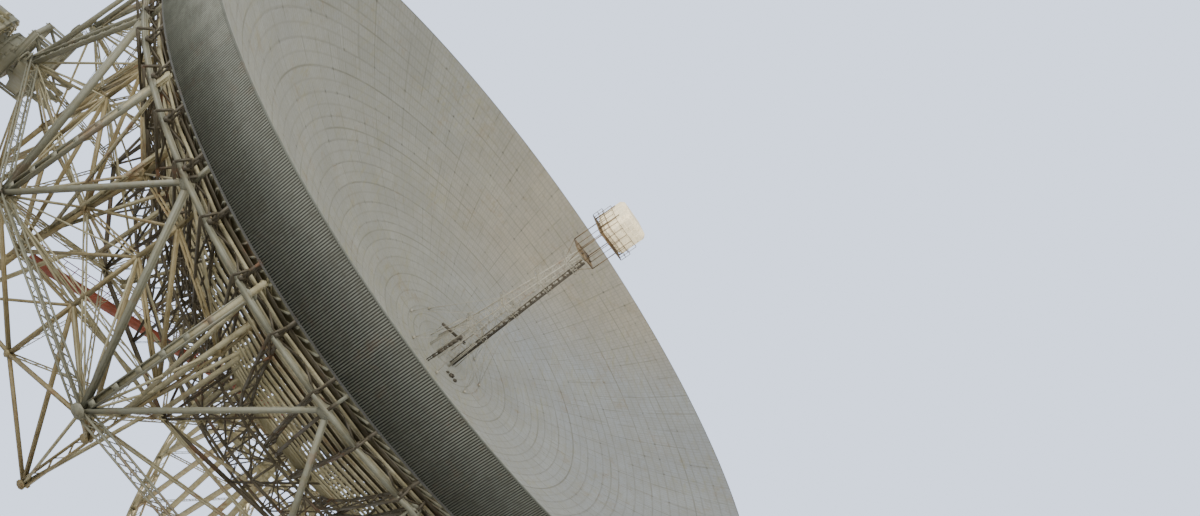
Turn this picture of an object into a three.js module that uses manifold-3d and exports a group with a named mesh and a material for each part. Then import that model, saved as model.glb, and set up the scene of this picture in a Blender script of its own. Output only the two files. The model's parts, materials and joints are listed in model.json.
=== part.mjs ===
// A fully steerable radio telescope with a deep paraboloid bowl between two lattice towers, as a
// scale model at 1:10. Lengths are millimetres of the model, so 100 stands for one real metre.
// +Z is up and the bowl looks to the front, -Y. The origin is on the ground under the centre pivot.
import * as THREE from 'three';
import { mergeVertices } from 'three/addons/utils/BufferGeometryUtils.js';
import Module from 'manifold-3d';

const wasm = await Module();
wasm.setup();

// Driving dimensions
const GAP = 0.3; // seat between pieces that touch
const AXIS_HEIGHT = 5050; // elevation axis above the ground
const TILT = 12.7; // elevation of the bowl's aim at rest, in degrees

// Bowl: z runs along its aim, measured from the elevation axis
const RIM_RADIUS = 3810;
const RIM_Z = 2067;
const DISH_FOCUS = 2290;
const SHEET = 10;
const FASCIA_HEIGHT = 415;
const SKIN_FOCUS = 1905;
const SKIN_RIM_Z = RIM_Z - FASCIA_HEIGHT;
const SKIN_EDGE_Z = SKIN_RIM_Z + SHEET;
const EDGE_SEAT = 0.5; // seat of both shells' edges inside the fascia
const SHELL_RADIUS = RIM_RADIUS - SHEET - EDGE_SEAT;
const SECTOR_STEP = 7.5; // degrees between the facets round the bowl
const SHELL_RINGS = 5;
const SKIN_EYE = 360; // open eye of the back skin, over the hub
const DISH_EYE = 190; // open eye at the vertex, where the mast stands
const DISH_LIP = 4; // the reflector's edge lies this far behind the rim

// Rear face of the back skin, which is straight between its stations
const SKIN_STATIONS = Array.from({ length: SHELL_RINGS + 1 }, (_, i) => (
  SKIN_EYE + ((SHELL_RADIUS - SKIN_EYE) * i) / SHELL_RINGS));

// Drum truss behind the rim, between a front ring and a wider back ring
const FRONT_RING = { radius: 3810, z: 1500, bar: 38 };
const BACK_RING = { radius: 3950, z: 410, bar: 54 };
const STRUT = 42;
const POST_RADIUS = 3774; // posts from the front ring up to the skin's edge
const TRUNNION_BAY = 15; // degrees of the bay that straddles each trunnion
const HALF_BAYS = 8; // half bays from a trunnion bay to the foot or crown
const HALF_BAY = (180 - TRUNNION_BAY) / 2 / HALF_BAYS;

// Ribs, hub and wheel girders
const RIB_THICKNESS = 50;
const RIB_CHORD = 44;
const RIB_BRACE = 26;
const HUB_RADIUS = 420;
const HUB_BACK = -1250;
const HUB_CHAMFER = 60;
const RIB_FOOT_Z = -1120;
const WHEEL_X = 640;
const WHEEL_RADIUS = 3850;
const WHEEL_DEPTH = 230;
const WHEEL_THICKNESS = 70;
const WHEEL_BAYS = 16;
const WHEEL_SEAT = 8; // the wheel girders' seats lie this far behind the ribs' mean line
const SPOKE_SPREAD = 2950;

// Service beam behind the left ribs
const BEAM = { y: -1000, z: -600, out: -3150, in: -960, height: 70, width: 45, hanger: 40 };

// Trunnions and their bearings
const BOSS_OUT = 4050;
const BOSS = {
  half: 130, bottom: -170, back: 75, tieIn: 210, tieHalf: 100, propFoot: 80, propHead: 410, prop: 80, shoe: 60,
};
const DRUM_RADIUS = 185;
const DRUM_LENGTH = 75;
const DRUM_LAP = 30;
const SHAFT_RADIUS = 120;
const SHAFT_END = 4700;
const SHAFT_CLEARANCE = 1.3;
const HOUSING = { half: 260, foot: 100, flange: 60, shoulder: 90 };

// Mast and focus cabin
const MAST_TOP_Z = RIM_Z + 316;
const MAST_BASE = 300;
const MAST_TOP = 100;
const MAST_PANELS = 5;
const MAST_FACE = { chord: 16, brace: 10, thickness: 12, inset: 7 };
const MAST_HEAD = 20;
const FOCUS_FRAME = { half: 130, cross: 12, edge: 18, post: 9 };
const CABIN_Z = RIM_Z + 793;
const CABIN_WIDTH = 400;
const CABIN_DEPTH = 350;
const CABIN_CORNER = 30;

// Towers
const TOWER_IN = 4200;
const TOWER_TOP_OUT = 4800;
const TOWER_FOOT_OUT = 5000;
const TOWER_TOP_HALF = 350;
const TOWER_FOOT_HALF = 1900;
const TOWER_TOP_Z = 4750;
const TOWER_FOOT_Z = 480;
const TOWER_LEVELS = [TOWER_FOOT_Z, 1620, 2600, 3440, 4140, TOWER_TOP_Z];
const TOWER_PLATE = 60;
const LEG = 90;
const TOWER_BRACE = 44;

// Track, pivot and base girder
const RAIL_RADII = [4653, 5349];
const RAIL_WIDTH = 30;
const RAIL_HEIGHT = 25;
const TRACK = { inner: 4520, outer: 5480, height: 50, facets: 36 };
const BOGIE = {
  wheel: 90, tread: 44, offset: 230, reach: 330, width: 110, depth: 90, head: 70, overhang: 60,
};
const GIRDER_Y = 400;
const GIRDER_BOTTOM = 330;
const GIRDER_TOP = 900;
const GIRDER_PLATE = 50;
const CRADLE = {
  roller: 60, spread: 260, half: 60, journal: 45, drop: 200, face: 90, running: 1, tie: 50,
};
const COLLAR = { radius: 150, height: 150, arm: 70 };
const PINTLE = { radius: 320, height: 260, pin: 60, top: 560, clearance: 0.9 };

const rad = THREE.MathUtils.degToRad;
const v3 = (x, y, z) => new THREE.Vector3(x, y, z);
const polar = (radius, degrees, z) => (
  v3(radius * Math.cos(rad(degrees)), radius * Math.sin(rad(degrees)), z));

// Finishes
const finish = (color, roughness, metalness = 0) => (
  new THREE.MeshStandardMaterial({ color, roughness, metalness }));
const panelPaint = () => finish('#b9b7ad', 0.55);
const fasciaPaint = () => finish('#5a5c52', 0.6);
const skinPaint = () => finish('#8f907c', 0.65);
const steelPaint = () => finish('#b3b09c', 0.55);
const darkSteel = () => finish('#4c4b46', 0.5, 0.5);
const redPaint = () => finish('#8c4a35', 0.6);
const creamPaint = () => finish('#d8cfae', 0.5);
const concrete = () => finish('#a5a39b', 0.9);

// Booleans
function solid(geometry) {
  const bare = geometry.clone();
  bare.deleteAttribute('normal');
  bare.deleteAttribute('uv');
  const merged = mergeVertices(bare, 1e-4);
  return new wasm.Manifold(new wasm.Mesh({
    numProp: 3,
    vertProperties: merged.attributes.position.array,
    triVerts: new Uint32Array(merged.index.array),
  }));
}

function geometryOf(body) {
  const mesh = body.getMesh();
  const geometry = new THREE.BufferGeometry();
  geometry.setAttribute('position', new THREE.BufferAttribute(mesh.vertProperties, 3));
  geometry.setIndex(new THREE.BufferAttribute(mesh.triVerts, 1));
  return geometry;
}

const join = (geometries) => geometryOf(geometries.map(solid).reduce((sum, next) => sum.add(next)));

// Bars and boxes
function bar(from, to, width, depth = width, side = v3(0, 0, 1)) {
  const along = to.clone().sub(from);
  const box = new THREE.BoxGeometry(width, depth, along.length());
  const direction = along.clone().normalize();
  const across = new THREE.Vector3().crossVectors(side, direction).normalize();
  const up = new THREE.Vector3().crossVectors(direction, across);
  box.applyMatrix4(new THREE.Matrix4().makeBasis(across, up, direction));
  const middle = from.clone().add(to).multiplyScalar(0.5);
  return box.translate(middle.x, middle.y, middle.z);
}

function block(x0, x1, y0, y1, z0, z1) {
  const box = new THREE.BoxGeometry(x1 - x0, y1 - y0, z1 - z0);
  return box.translate((x0 + x1) / 2, (y0 + y1) / 2, (z0 + z1) / 2);
}

function cylinderAlongX(radius, x0, x1, sides = 20) {
  const round = new THREE.CylinderGeometry(radius, radius, x1 - x0, sides);
  return round.rotateZ(Math.PI / 2).translate((x0 + x1) / 2, 0, 0);
}

// Flat lattices: a plate with cells cut out, which leaves chords along its edge and braces inside
function insetPolygon(points, distances) {
  const count = points.length;
  const inward = Math.sign(THREE.ShapeUtils.area(points));
  const lines = points.map((p, i) => {
    const q = points[(i + 1) % count];
    const direction = q.clone().sub(p).normalize();
    const normal = new THREE.Vector2(-direction.y, direction.x).multiplyScalar(inward * distances[i]);
    return { point: p.clone().add(normal), direction };
  });
  return lines.map((line, i) => {
    const before = lines[(i + count - 1) % count];
    const cross = before.direction.x * line.direction.y - before.direction.y * line.direction.x;
    const between = line.point.clone().sub(before.point);
    const along = (between.x * line.direction.y - between.y * line.direction.x) / cross;
    return before.point.clone().addScaledVector(before.direction, along);
  });
}

function prism(points, depth) {
  const body = new THREE.ExtrudeGeometry(new THREE.Shape(points), { depth, bevelEnabled: false });
  return body.translate(0, 0, -depth / 2);
}

function lattice(outline, cells, chord, brace, thickness) {
  const onEdge = (p, q) => outline.some((a, i) => {
    const b = outline[(i + 1) % outline.length];
    const edge = b.clone().sub(a);
    const offEdge = (point) => Math.abs(edge.x * (point.y - a.y) - edge.y * (point.x - a.x)) / edge.length();
    return offEdge(p) < 1 && offEdge(q) < 1;
  });
  const cut = cells.map((cell) => {
    const insets = cell.map((p, i) => (onEdge(p, cell[(i + 1) % cell.length]) ? chord : brace / 2));
    return solid(prism(insetPolygon(cell, insets), thickness + 20));
  });
  return geometryOf(cut.reduce((left, hole) => left.subtract(hole), solid(prism(outline, thickness))));
}

// Stands a flat lattice up: its x runs along across, its y along up, and it starts at corner
function stand(geometry, corner, across, up) {
  const normal = new THREE.Vector3().crossVectors(across, up);
  const place = new THREE.Matrix4().makeBasis(across, up, normal).setPosition(corner);
  return geometry.applyMatrix4(place);
}

function crossedPanel(a, b, c, d) {
  const t = lineMeet(a, c, b, d);
  const middle = a.clone().lerp(c, t);
  return [[a, b, middle], [b, c, middle], [c, d, middle], [d, a, middle]];
}

function lineMeet(a, c, b, d) {
  const r = c.clone().sub(a);
  const s = d.clone().sub(b);
  const between = b.clone().sub(a);
  return (between.x * s.y - between.y * s.x) / (r.x * s.y - r.y * s.x);
}

const part = new THREE.Group();
const bowl = new THREE.Group();
bowl.position.z = AXIS_HEIGHT;
bowl.rotation.x = rad(90 - TILT);
part.add(bowl);

function add(parent, name, geometry, material) {
  const mesh = new THREE.Mesh(geometry, material);
  mesh.name = name;
  parent.add(mesh);
}

const QUARTERS = [
  { name: 'upper_right', start: 0 },
  { name: 'upper_left', start: 90 },
  { name: 'lower_left', start: 180 },
  { name: 'lower_right', start: 270 },
];

// Closed shell of part of a turn, from a profile of radius and z that runs anticlockwise
function sectorShell(profile, angles) {
  const steps = angles.length - 1;
  const positions = [];
  const index = [];
  const count = profile.length;
  for (let i = 0; i <= steps; i += 1) {
    for (const [radius, z] of profile) positions.push(...polar(radius, angles[i], z).toArray());
  }
  for (let i = 0; i < steps; i += 1) {
    for (let j = 0; j < count; j += 1) {
      const a = i * count + j;
      const b = i * count + ((j + 1) % count);
      index.push(a, a + count, b, b, a + count, b + count);
    }
  }
  const corners = profile.map(([r, z]) => new THREE.Vector2(r, z));
  for (const face of THREE.ShapeUtils.triangulateShape(corners, [])) {
    const turned = THREE.ShapeUtils.area(face.map((k) => corners[k])) > 0;
    const [a, b, c] = turned ? face : [face[0], face[2], face[1]];
    const last = steps * count;
    index.push(a, b, c, a + last, c + last, b + last);
  }
  const geometry = new THREE.BufferGeometry();
  geometry.setAttribute('position', new THREE.Float32BufferAttribute(positions, 3));
  geometry.setIndex(index);
  return geometry;
}

// The facet angles of a sector, short of its ends by a seat gap that is given at one radius
function sectorAngles(start, sweep, radius) {
  const trim = THREE.MathUtils.radToDeg(GAP / 2 / radius);
  const angles = [];
  for (let angle = start; angle <= start + sweep; angle += SECTOR_STEP) angles.push(angle);
  angles[0] += trim;
  angles[angles.length - 1] -= trim;
  return angles;
}

const paraboloid = (radius, rimRadius, rimZ, focus) => rimZ - (rimRadius ** 2 - radius ** 2) / (4 * focus);

function skinRear(radius) {
  const curve = (r) => paraboloid(r, SHELL_RADIUS, SKIN_EDGE_Z, SKIN_FOCUS) - SHEET;
  const bay = Math.min(SKIN_STATIONS.findLastIndex((r) => r <= radius), SHELL_RINGS - 1);
  const [from, to] = [SKIN_STATIONS[bay], SKIN_STATIONS[bay + 1]];
  return curve(from) + ((curve(to) - curve(from)) * (radius - from)) / (to - from);
}

// Dish surface, fascia and back skin
function shellProfile(innerRadius, outerRadius, rimZ, focus, rings) {
  const front = [];
  const back = [];
  for (let i = 0; i <= rings; i += 1) {
    const radius = innerRadius + ((outerRadius - innerRadius) * i) / rings;
    const z = paraboloid(radius, outerRadius, rimZ, focus);
    front.unshift([radius, z]);
    back.push([radius, z - SHEET]);
  }
  return [...back, ...front];
}

for (const { name, start } of QUARTERS) {
  const dish = shellProfile(DISH_EYE, SHELL_RADIUS, RIM_Z - DISH_LIP, DISH_FOCUS, SHELL_RINGS);
  add(bowl, `dish_surface_${name}`, sectorShell(dish, sectorAngles(start, 90, DISH_EYE)), panelPaint());
  const skin = shellProfile(SKIN_EYE, SHELL_RADIUS, SKIN_EDGE_Z, SKIN_FOCUS, SHELL_RINGS);
  add(bowl, `back_skin_${name}`, sectorShell(skin, sectorAngles(start, 90, SKIN_EYE)), skinPaint());
}

const fasciaProfile = [
  [RIM_RADIUS - SHEET, SKIN_RIM_Z],
  [RIM_RADIUS, SKIN_RIM_Z],
  [RIM_RADIUS, RIM_Z],
  [RIM_RADIUS - SHEET, RIM_Z],
];
for (const [name, start] of [['left', 90], ['right', 270]]) {
  const angles = sectorAngles(start, 180, RIM_RADIUS);
  add(bowl, `rim_fascia_${name}`, sectorShell(fasciaProfile, angles), fasciaPaint());
}

// Node angles of the drum truss, from the left trunnion down to the foot, in degrees
const backAngles = [];
const frontAngles = [];
for (let i = 0; i <= HALF_BAYS; i += 1) {
  const angle = TRUNNION_BAY / 2 + i * HALF_BAY;
  (i % 2 ? frontAngles : backAngles).push(angle);
}

// The angles run from the trunnion, so the left quarters mirror them into their own place
const quarterAngle = (start, angle) => (start % 180 === 0 ? start + angle : start + 90 - angle);

// A ring of square section through corners at the given angles
function ringBar({ radius, z, bar: width }, angles) {
  const profile = [
    [radius - width / 2, z - width / 2],
    [radius + width / 2, z - width / 2],
    [radius + width / 2, z + width / 2],
    [radius - width / 2, z + width / 2],
  ];
  return sectorShell(profile, angles);
}

// Everything in front of the back skin's rear face, over one quarter
function aheadOfSkin(start) {
  const past = SHELL_RADIUS + STRUT;
  const rear = [...SKIN_STATIONS.slice(0, -1), past].map((radius) => [radius, skinRear(radius) - 2 * GAP]);
  const profile = [...rear, [past, RIM_Z], [SKIN_EYE, RIM_Z]];
  const angles = [];
  for (let angle = start; angle <= start + 90; angle += SECTOR_STEP) angles.push(angle);
  return solid(sectorShell(profile, angles));
}

function drumQuarter(start) {
  const at = (ring, angle) => polar(ring.radius, quarterAngle(start, angle), ring.z);
  const corners = [...backAngles, ...frontAngles].sort((a, b) => a - b);
  const frontCorners = [-corners[0], ...corners, 180 - corners[corners.length - 2]];
  const backCorners = [-backAngles[0], ...backAngles, 180 - backAngles[backAngles.length - 2]];
  const inOrder = (angles) => angles.map((angle) => quarterAngle(start, angle)).sort((a, b) => a - b);
  const pieces = [ringBar(FRONT_RING, inOrder(frontCorners)), ringBar(BACK_RING, inOrder(backCorners))];
  frontAngles.forEach((angle) => {
    const outward = polar(1, quarterAngle(start, angle), 0);
    for (const neighbour of [angle - HALF_BAY, angle + HALF_BAY]) {
      pieces.push(bar(at(FRONT_RING, angle), at(BACK_RING, neighbour), STRUT, STRUT, outward));
    }
    const post = { radius: POST_RADIUS, z: FRONT_RING.z };
    const head = { radius: POST_RADIUS, z: SKIN_RIM_Z };
    pieces.push(bar(at(post, angle), at(head, angle), STRUT, STRUT, outward));
  });
  const reach = BACK_RING.radius * 2;
  const quarter = block(GAP / 2, reach, GAP / 2, reach, -reach, reach).rotateZ(rad(start));
  return geometryOf(solid(join(pieces)).intersect(solid(quarter)).subtract(aheadOfSkin(start)));
}

for (const { name, start } of QUARTERS) {
  add(bowl, `drum_truss_${name}`, drumQuarter(start), steelPaint());
}

// Ribs: radial trusses from the hub to the drum, behind the skin
function ribOutline() {
  const inner = HUB_RADIUS + 1;
  const slack = (ring, halfTurn) => ring.bar / 2 + (RIB_THICKNESS / 2) * Math.tan(rad(halfTurn)) + GAP;
  const backOuter = BACK_RING.radius - slack(BACK_RING, HALF_BAY);
  const footEnd = BACK_RING.z - BACK_RING.bar / 2;
  const atRing = FRONT_RING.radius - slack(FRONT_RING, HALF_BAY / 2);
  const ringFoot = FRONT_RING.z - FRONT_RING.bar / 2;
  const tipShare = (skinRear(atRing) - ringFoot) / (ringFoot - footEnd);
  const frontOuter = atRing - (backOuter - atRing) * tipShare;
  const top = [inner, ...SKIN_STATIONS.slice(1, -1), frontOuter].map((radius) => (
    new THREE.Vector2(radius, skinRear(radius) - GAP)));
  const foot = top.map((point) => {
    const share = (point.x - inner) / (frontOuter - inner);
    return new THREE.Vector2(inner + (backOuter - inner) * share, RIB_FOOT_Z + (footEnd - RIB_FOOT_Z) * share);
  });
  return { top, foot };
}

// Height of the ribs' rear edge at a radius
function ribFoot(radius) {
  const { foot } = ribOutline();
  const [from, to] = [foot[0], foot[foot.length - 1]];
  return from.y + ((to.y - from.y) * (radius - from.x)) / (to.x - from.x);
}

function rib(angle) {
  const { top, foot } = ribOutline();
  const cells = [];
  for (let i = 0; i + 1 < top.length; i += 1) {
    if (i % 2) {
      cells.push([foot[i], foot[i + 1], top[i]], [foot[i + 1], top[i + 1], top[i]]);
    } else {
      cells.push([foot[i], foot[i + 1], top[i + 1]], [foot[i], top[i + 1], top[i]]);
    }
  }
  const outline = [foot[0], foot[foot.length - 1], ...top.slice().reverse()];
  const plate = lattice(outline, cells, RIB_CHORD, RIB_BRACE, RIB_THICKNESS);
  return stand(plate, v3(0, 0, 0), polar(1, angle, 0), v3(0, 0, 1));
}

// The room that a rib takes up, with a seat gap round it
function ribRoom(angle) {
  const { top, foot } = ribOutline();
  const low = foot.map((point) => new THREE.Vector2(point.x, point.y - 2 * GAP));
  const plate = prism([low[0], low[low.length - 1], ...top.slice().reverse()], RIB_THICKNESS + 2 * GAP);
  return solid(stand(plate, v3(0, 0, 0), polar(1, angle, 0), v3(0, 0, 1)));
}

const ribAngles = [90, 270];
for (const { start } of QUARTERS) {
  for (const angle of backAngles.slice(0, 3)) ribAngles.push(quarterAngle(start, angle));
}
ribAngles.sort((a, b) => a - b);
ribAngles.forEach((angle, i) => add(bowl, `rib_${i + 1}`, rib(angle), steelPaint()));

// Hub: the drum at the back of the bowl that the ribs meet
function hub() {
  const front = skinRear(SKIN_EYE) - GAP;
  const profile = [
    [0, HUB_BACK],
    [HUB_RADIUS - HUB_CHAMFER, HUB_BACK],
    [HUB_RADIUS, HUB_BACK + HUB_CHAMFER],
    [HUB_RADIUS, front],
    [0, front],
  ].map(([r, z]) => new THREE.Vector2(r, z));
  return new THREE.LatheGeometry(profile, 24).rotateX(Math.PI / 2);
}
add(bowl, 'hub', hub(), steelPaint());

// Wheel girders: half circles about the elevation axis, with spokes to the ribs' backs
function wheelGirder(x) {
  const reach = 90 + THREE.MathUtils.radToDeg(
    Math.asin((BACK_RING.z - BACK_RING.bar / 2 - GAP) / WHEEL_RADIUS),
  );
  const onArc = (radius, i) => {
    const angle = rad(-reach + (2 * reach * i) / WHEEL_BAYS);
    return new THREE.Vector2(radius * Math.sin(angle), -radius * Math.cos(angle));
  };
  const rim = [];
  const inside = [];
  const cells = [];
  for (let i = 0; i <= WHEEL_BAYS; i += 1) {
    rim.push(onArc(WHEEL_RADIUS, i));
    inside.push(onArc(WHEEL_RADIUS - WHEEL_DEPTH, i));
  }
  for (let i = 0; i < WHEEL_BAYS; i += 1) {
    if (i % 2) {
      cells.push([rim[i], rim[i + 1], inside[i]], [rim[i + 1], inside[i + 1], inside[i]]);
    } else {
      cells.push([rim[i], rim[i + 1], inside[i + 1]], [rim[i], inside[i + 1], inside[i]]);
    }
  }
  const firstSpoke = 2;
  const seat = [];
  for (let i = firstSpoke; i <= WHEEL_BAYS - firstSpoke; i += 2) {
    const y = (SPOKE_SPREAD * (i - WHEEL_BAYS / 2)) / (WHEEL_BAYS / 2 - firstSpoke);
    seat.push(new THREE.Vector2(y, ribFoot(Math.hypot(y, x)) - WHEEL_SEAT));
  }
  for (let k = 0; k + 1 < seat.length; k += 1) {
    const i = firstSpoke + 2 * k;
    cells.push([inside[i], inside[i + 1], seat[k]], [inside[i + 1], inside[i + 2], seat[k + 1]]);
    cells.push([inside[i + 1], seat[k + 1], seat[k]]);
  }
  const outline = [
    ...rim,
    ...inside.slice(WHEEL_BAYS - firstSpoke).reverse(),
    ...seat.slice().reverse(),
    ...inside.slice(0, firstSpoke + 1).reverse(),
  ];
  const plate = lattice(outline, cells, RIB_CHORD, RIB_BRACE, WHEEL_THICKNESS);
  const upright = solid(stand(plate, v3(x, 0, 0), v3(0, 1, 0), v3(0, 0, 1)));
  return geometryOf(ribAngles.reduce((left, angle) => left.subtract(ribRoom(angle)), upright));
}
add(bowl, 'wheel_girder_left', wheelGirder(-WHEEL_X), steelPaint());
add(bowl, 'wheel_girder_right', wheelGirder(WHEEL_X), steelPaint());

// Trunnions: boss under the back ring, two props to it, a tie between the ribs, drum and shaft
function trunnion(side) {
  const bossTop = BACK_RING.z - BACK_RING.bar / 2 - GAP;
  const chordX = BACK_RING.radius * Math.cos(rad(TRUNNION_BAY / 2));
  const { half, bottom, back, tieIn, tieHalf, propFoot, propHead, prop, shoe } = BOSS;
  const pieces = [
    block(chordX - back, BOSS_OUT, -half, half, bottom, bossTop),
    block(chordX - tieIn, chordX, -tieHalf, tieHalf, -tieHalf, tieHalf),
    cylinderAlongX(DRUM_RADIUS, BOSS_OUT - DRUM_LAP, BOSS_OUT + DRUM_LENGTH, 28),
    cylinderAlongX(SHAFT_RADIUS, BOSS_OUT, SHAFT_END, 24),
  ];
  for (const up of [1, -1]) {
    const foot = v3(chordX, up * propFoot, bottom + prop / 2);
    const head = v3(chordX, up * propHead, bossTop - prop / 2);
    const y = [up * propHead - shoe, up * propHead + shoe];
    pieces.push(bar(foot, head, prop));
    pieces.push(block(chordX - prop / 2, chordX + prop / 2, ...y, bossTop - shoe, bossTop));
  }
  const made = join(pieces);
  return side > 0 ? made : made.rotateZ(Math.PI);
}
add(bowl, 'trunnion_left', trunnion(-1), darkSteel());
add(bowl, 'trunnion_right', trunnion(1), darkSteel());

// Mast: a tapered square lattice from the hub, through the eye of the dish, to the focus
const MAST_FOOT_Z = skinRear(SKIN_EYE);

function mast() {
  const length = MAST_TOP_Z - MAST_FOOT_Z;
  const slant = Math.hypot(length, (MAST_BASE - MAST_TOP) / 2);
  const up = v3(0, (MAST_TOP - MAST_BASE) / 2, length).normalize();
  const left = [];
  const right = [];
  for (let i = 0; i <= MAST_PANELS; i += 1) {
    const share = i / MAST_PANELS;
    const half = (MAST_BASE + (MAST_TOP - MAST_BASE) * share) / 2;
    left.push(new THREE.Vector2(-half, slant * share));
    right.push(new THREE.Vector2(half, slant * share));
  }
  const cells = [];
  for (let i = 0; i < MAST_PANELS; i += 1) {
    if (i % 2) {
      cells.push([left[i], right[i], left[i + 1]], [right[i], right[i + 1], left[i + 1]]);
    } else {
      cells.push([left[i], right[i], right[i + 1]], [left[i], right[i + 1], left[i + 1]]);
    }
  }
  const outline = [left[0], right[0], right[MAST_PANELS], left[MAST_PANELS]];
  const { chord, brace, thickness, inset } = MAST_FACE;
  const foot = v3(0, MAST_BASE / 2 - inset, MAST_FOOT_Z);
  const face = stand(lattice(outline, cells, chord, brace, thickness), foot, v3(1, 0, 0), up);
  const faces = [0, 90, 180, 270].map((turn) => face.clone().rotateZ(rad(turn)));
  const half = MAST_TOP / 2;
  const head = block(-half, half, -half, half, MAST_TOP_Z - MAST_HEAD, MAST_TOP_Z);
  const room = block(-MAST_BASE, MAST_BASE, -MAST_BASE, MAST_BASE, MAST_FOOT_Z, MAST_TOP_Z);
  return geometryOf(solid(join([...faces, head])).intersect(solid(room)));
}
add(bowl, 'mast', mast(), steelPaint());

// Focus frame: a square ring on the mast head and four posts that hold the cabin
const CABIN_BACK = CABIN_Z - CABIN_DEPTH / 2;

function focusFrame() {
  const { half, cross, edge, post } = FOCUS_FRAME;
  const z = MAST_TOP_Z + cross + GAP;
  const low = z - cross;
  const high = z + cross;
  const pieces = [block(-half, half, -cross, cross, low, high), block(-cross, cross, -half, half, low, high)];
  const corners = [v3(-half, -half, z), v3(half, -half, z), v3(half, half, z), v3(-half, half, z)];
  corners.forEach((corner, i) => {
    const { x, y } = corner;
    pieces.push(bar(corner, corners[(i + 1) % 4], edge));
    pieces.push(block(x - post, x + post, y - post, y + post, z - post, CABIN_BACK - GAP));
  });
  return join(pieces);
}
add(bowl, 'focus_frame', focusFrame(), steelPaint());

function focusCabin() {
  const half = CABIN_WIDTH / 2;
  const flat = half - CABIN_CORNER;
  const outline = [[-1, -1], [1, -1], [1, 1], [-1, 1]].flatMap(([x, y]) => {
    const ends = [new THREE.Vector2(x * flat, y * half), new THREE.Vector2(x * half, y * flat)];
    return x * y > 0 ? ends.reverse() : ends;
  });
  outline.push(outline.shift());
  const body = new THREE.ExtrudeGeometry(new THREE.Shape(outline), { depth: CABIN_DEPTH, bevelEnabled: false });
  return body.translate(0, 0, CABIN_BACK);
}
add(bowl, 'focus_cabin', focusCabin(), creamPaint());

// Service beam: the red beam behind the left ribs, hung from one of them
function serviceBeam() {
  const { y, z, out, height, width, hanger } = BEAM;
  const hangAngle = 180 + backAngles[1];
  const x = y / Math.tan(rad(hangAngle));
  const half = hanger / 2;
  const hung = block(x - half, x + half, y - half, y + half, z, ribFoot(Math.hypot(x, y)));
  const beam = block(out, BEAM.in, y - width / 2, y + width / 2, z - height / 2, z + height / 2);
  return geometryOf(solid(join([hung, beam])).subtract(ribRoom(hangAngle)));
}
add(bowl, 'service_beam', serviceBeam(), redPaint());

// Towers: four flat lattice faces each
const tower = new THREE.Group();
part.add(tower);

function towerSide(out) {
  const height = TOWER_TOP_Z - TOWER_FOOT_Z;
  const half = (z) => TOWER_FOOT_HALF + ((TOWER_TOP_HALF - TOWER_FOOT_HALF) * (z - TOWER_FOOT_Z)) / height;
  const stretch = out ? Math.hypot(height, TOWER_FOOT_OUT - TOWER_TOP_OUT) / height : 1;
  const left = [];
  const right = [];
  const middle = [];
  for (const z of TOWER_LEVELS) {
    const y = (z - TOWER_FOOT_Z) * stretch;
    left.push(new THREE.Vector2(-half(z), y));
    middle.push(new THREE.Vector2(0, y));
    right.push(new THREE.Vector2(half(z), y));
  }
  const cells = [];
  const wide = 2;
  for (let i = 0; i + 1 < TOWER_LEVELS.length; i += 1) {
    if (i < wide) {
      cells.push(...crossedPanel(left[i], middle[i], middle[i + 1], left[i + 1]));
      cells.push(...crossedPanel(middle[i], right[i], right[i + 1], middle[i + 1]));
    } else {
      cells.push(...crossedPanel(left[i], right[i], right[i + 1], left[i + 1]));
    }
  }
  const last = TOWER_LEVELS.length - 1;
  const outline = [left[0], right[0], right[last], left[last]];
  return lattice(outline, cells, LEG, TOWER_BRACE, TOWER_PLATE);
}

// Cuts a leaning face level at its head and foot
function level(geometry) {
  const reach = 2 * TOWER_FOOT_OUT;
  const slab = block(-reach, reach, -reach, reach, TOWER_FOOT_Z, TOWER_TOP_Z);
  return geometryOf(solid(geometry).intersect(solid(slab)));
}

// The end faces lie between the inner and outer faces, in the slope of their legs
function towerEnd() {
  const height = TOWER_TOP_Z - TOWER_FOOT_Z;
  const slope = Math.hypot(height, TOWER_FOOT_HALF - TOWER_TOP_HALF);
  const inner = TOWER_PLATE / 2 + GAP;
  const levels = [TOWER_FOOT_Z - TOWER_PLATE, ...TOWER_LEVELS.slice(1, -1), TOWER_TOP_Z + TOWER_PLATE];
  const points = levels.map((z) => {
    const share = (z - TOWER_FOOT_Z) / height;
    const outer = TOWER_FOOT_OUT + (TOWER_TOP_OUT - TOWER_FOOT_OUT) * share - TOWER_IN - inner - 1;
    return { v: slope * share, outer };
  });
  const near = points.map(({ v }) => new THREE.Vector2(inner, v));
  const far = points.map(({ v, outer }) => new THREE.Vector2(outer, v));
  const cells = [];
  for (let i = 0; i + 1 < points.length; i += 1) {
    if (i % 2) {
      cells.push([near[i], far[i], near[i + 1]], [far[i], far[i + 1], near[i + 1]]);
    } else {
      cells.push([near[i], far[i], far[i + 1]], [near[i], far[i + 1], near[i + 1]]);
    }
  }
  const last = points.length - 1;
  const outline = [near[0], far[0], far[last], near[last]];
  return lattice(outline, cells, LEG, TOWER_BRACE, TOWER_PLATE);
}

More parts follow.
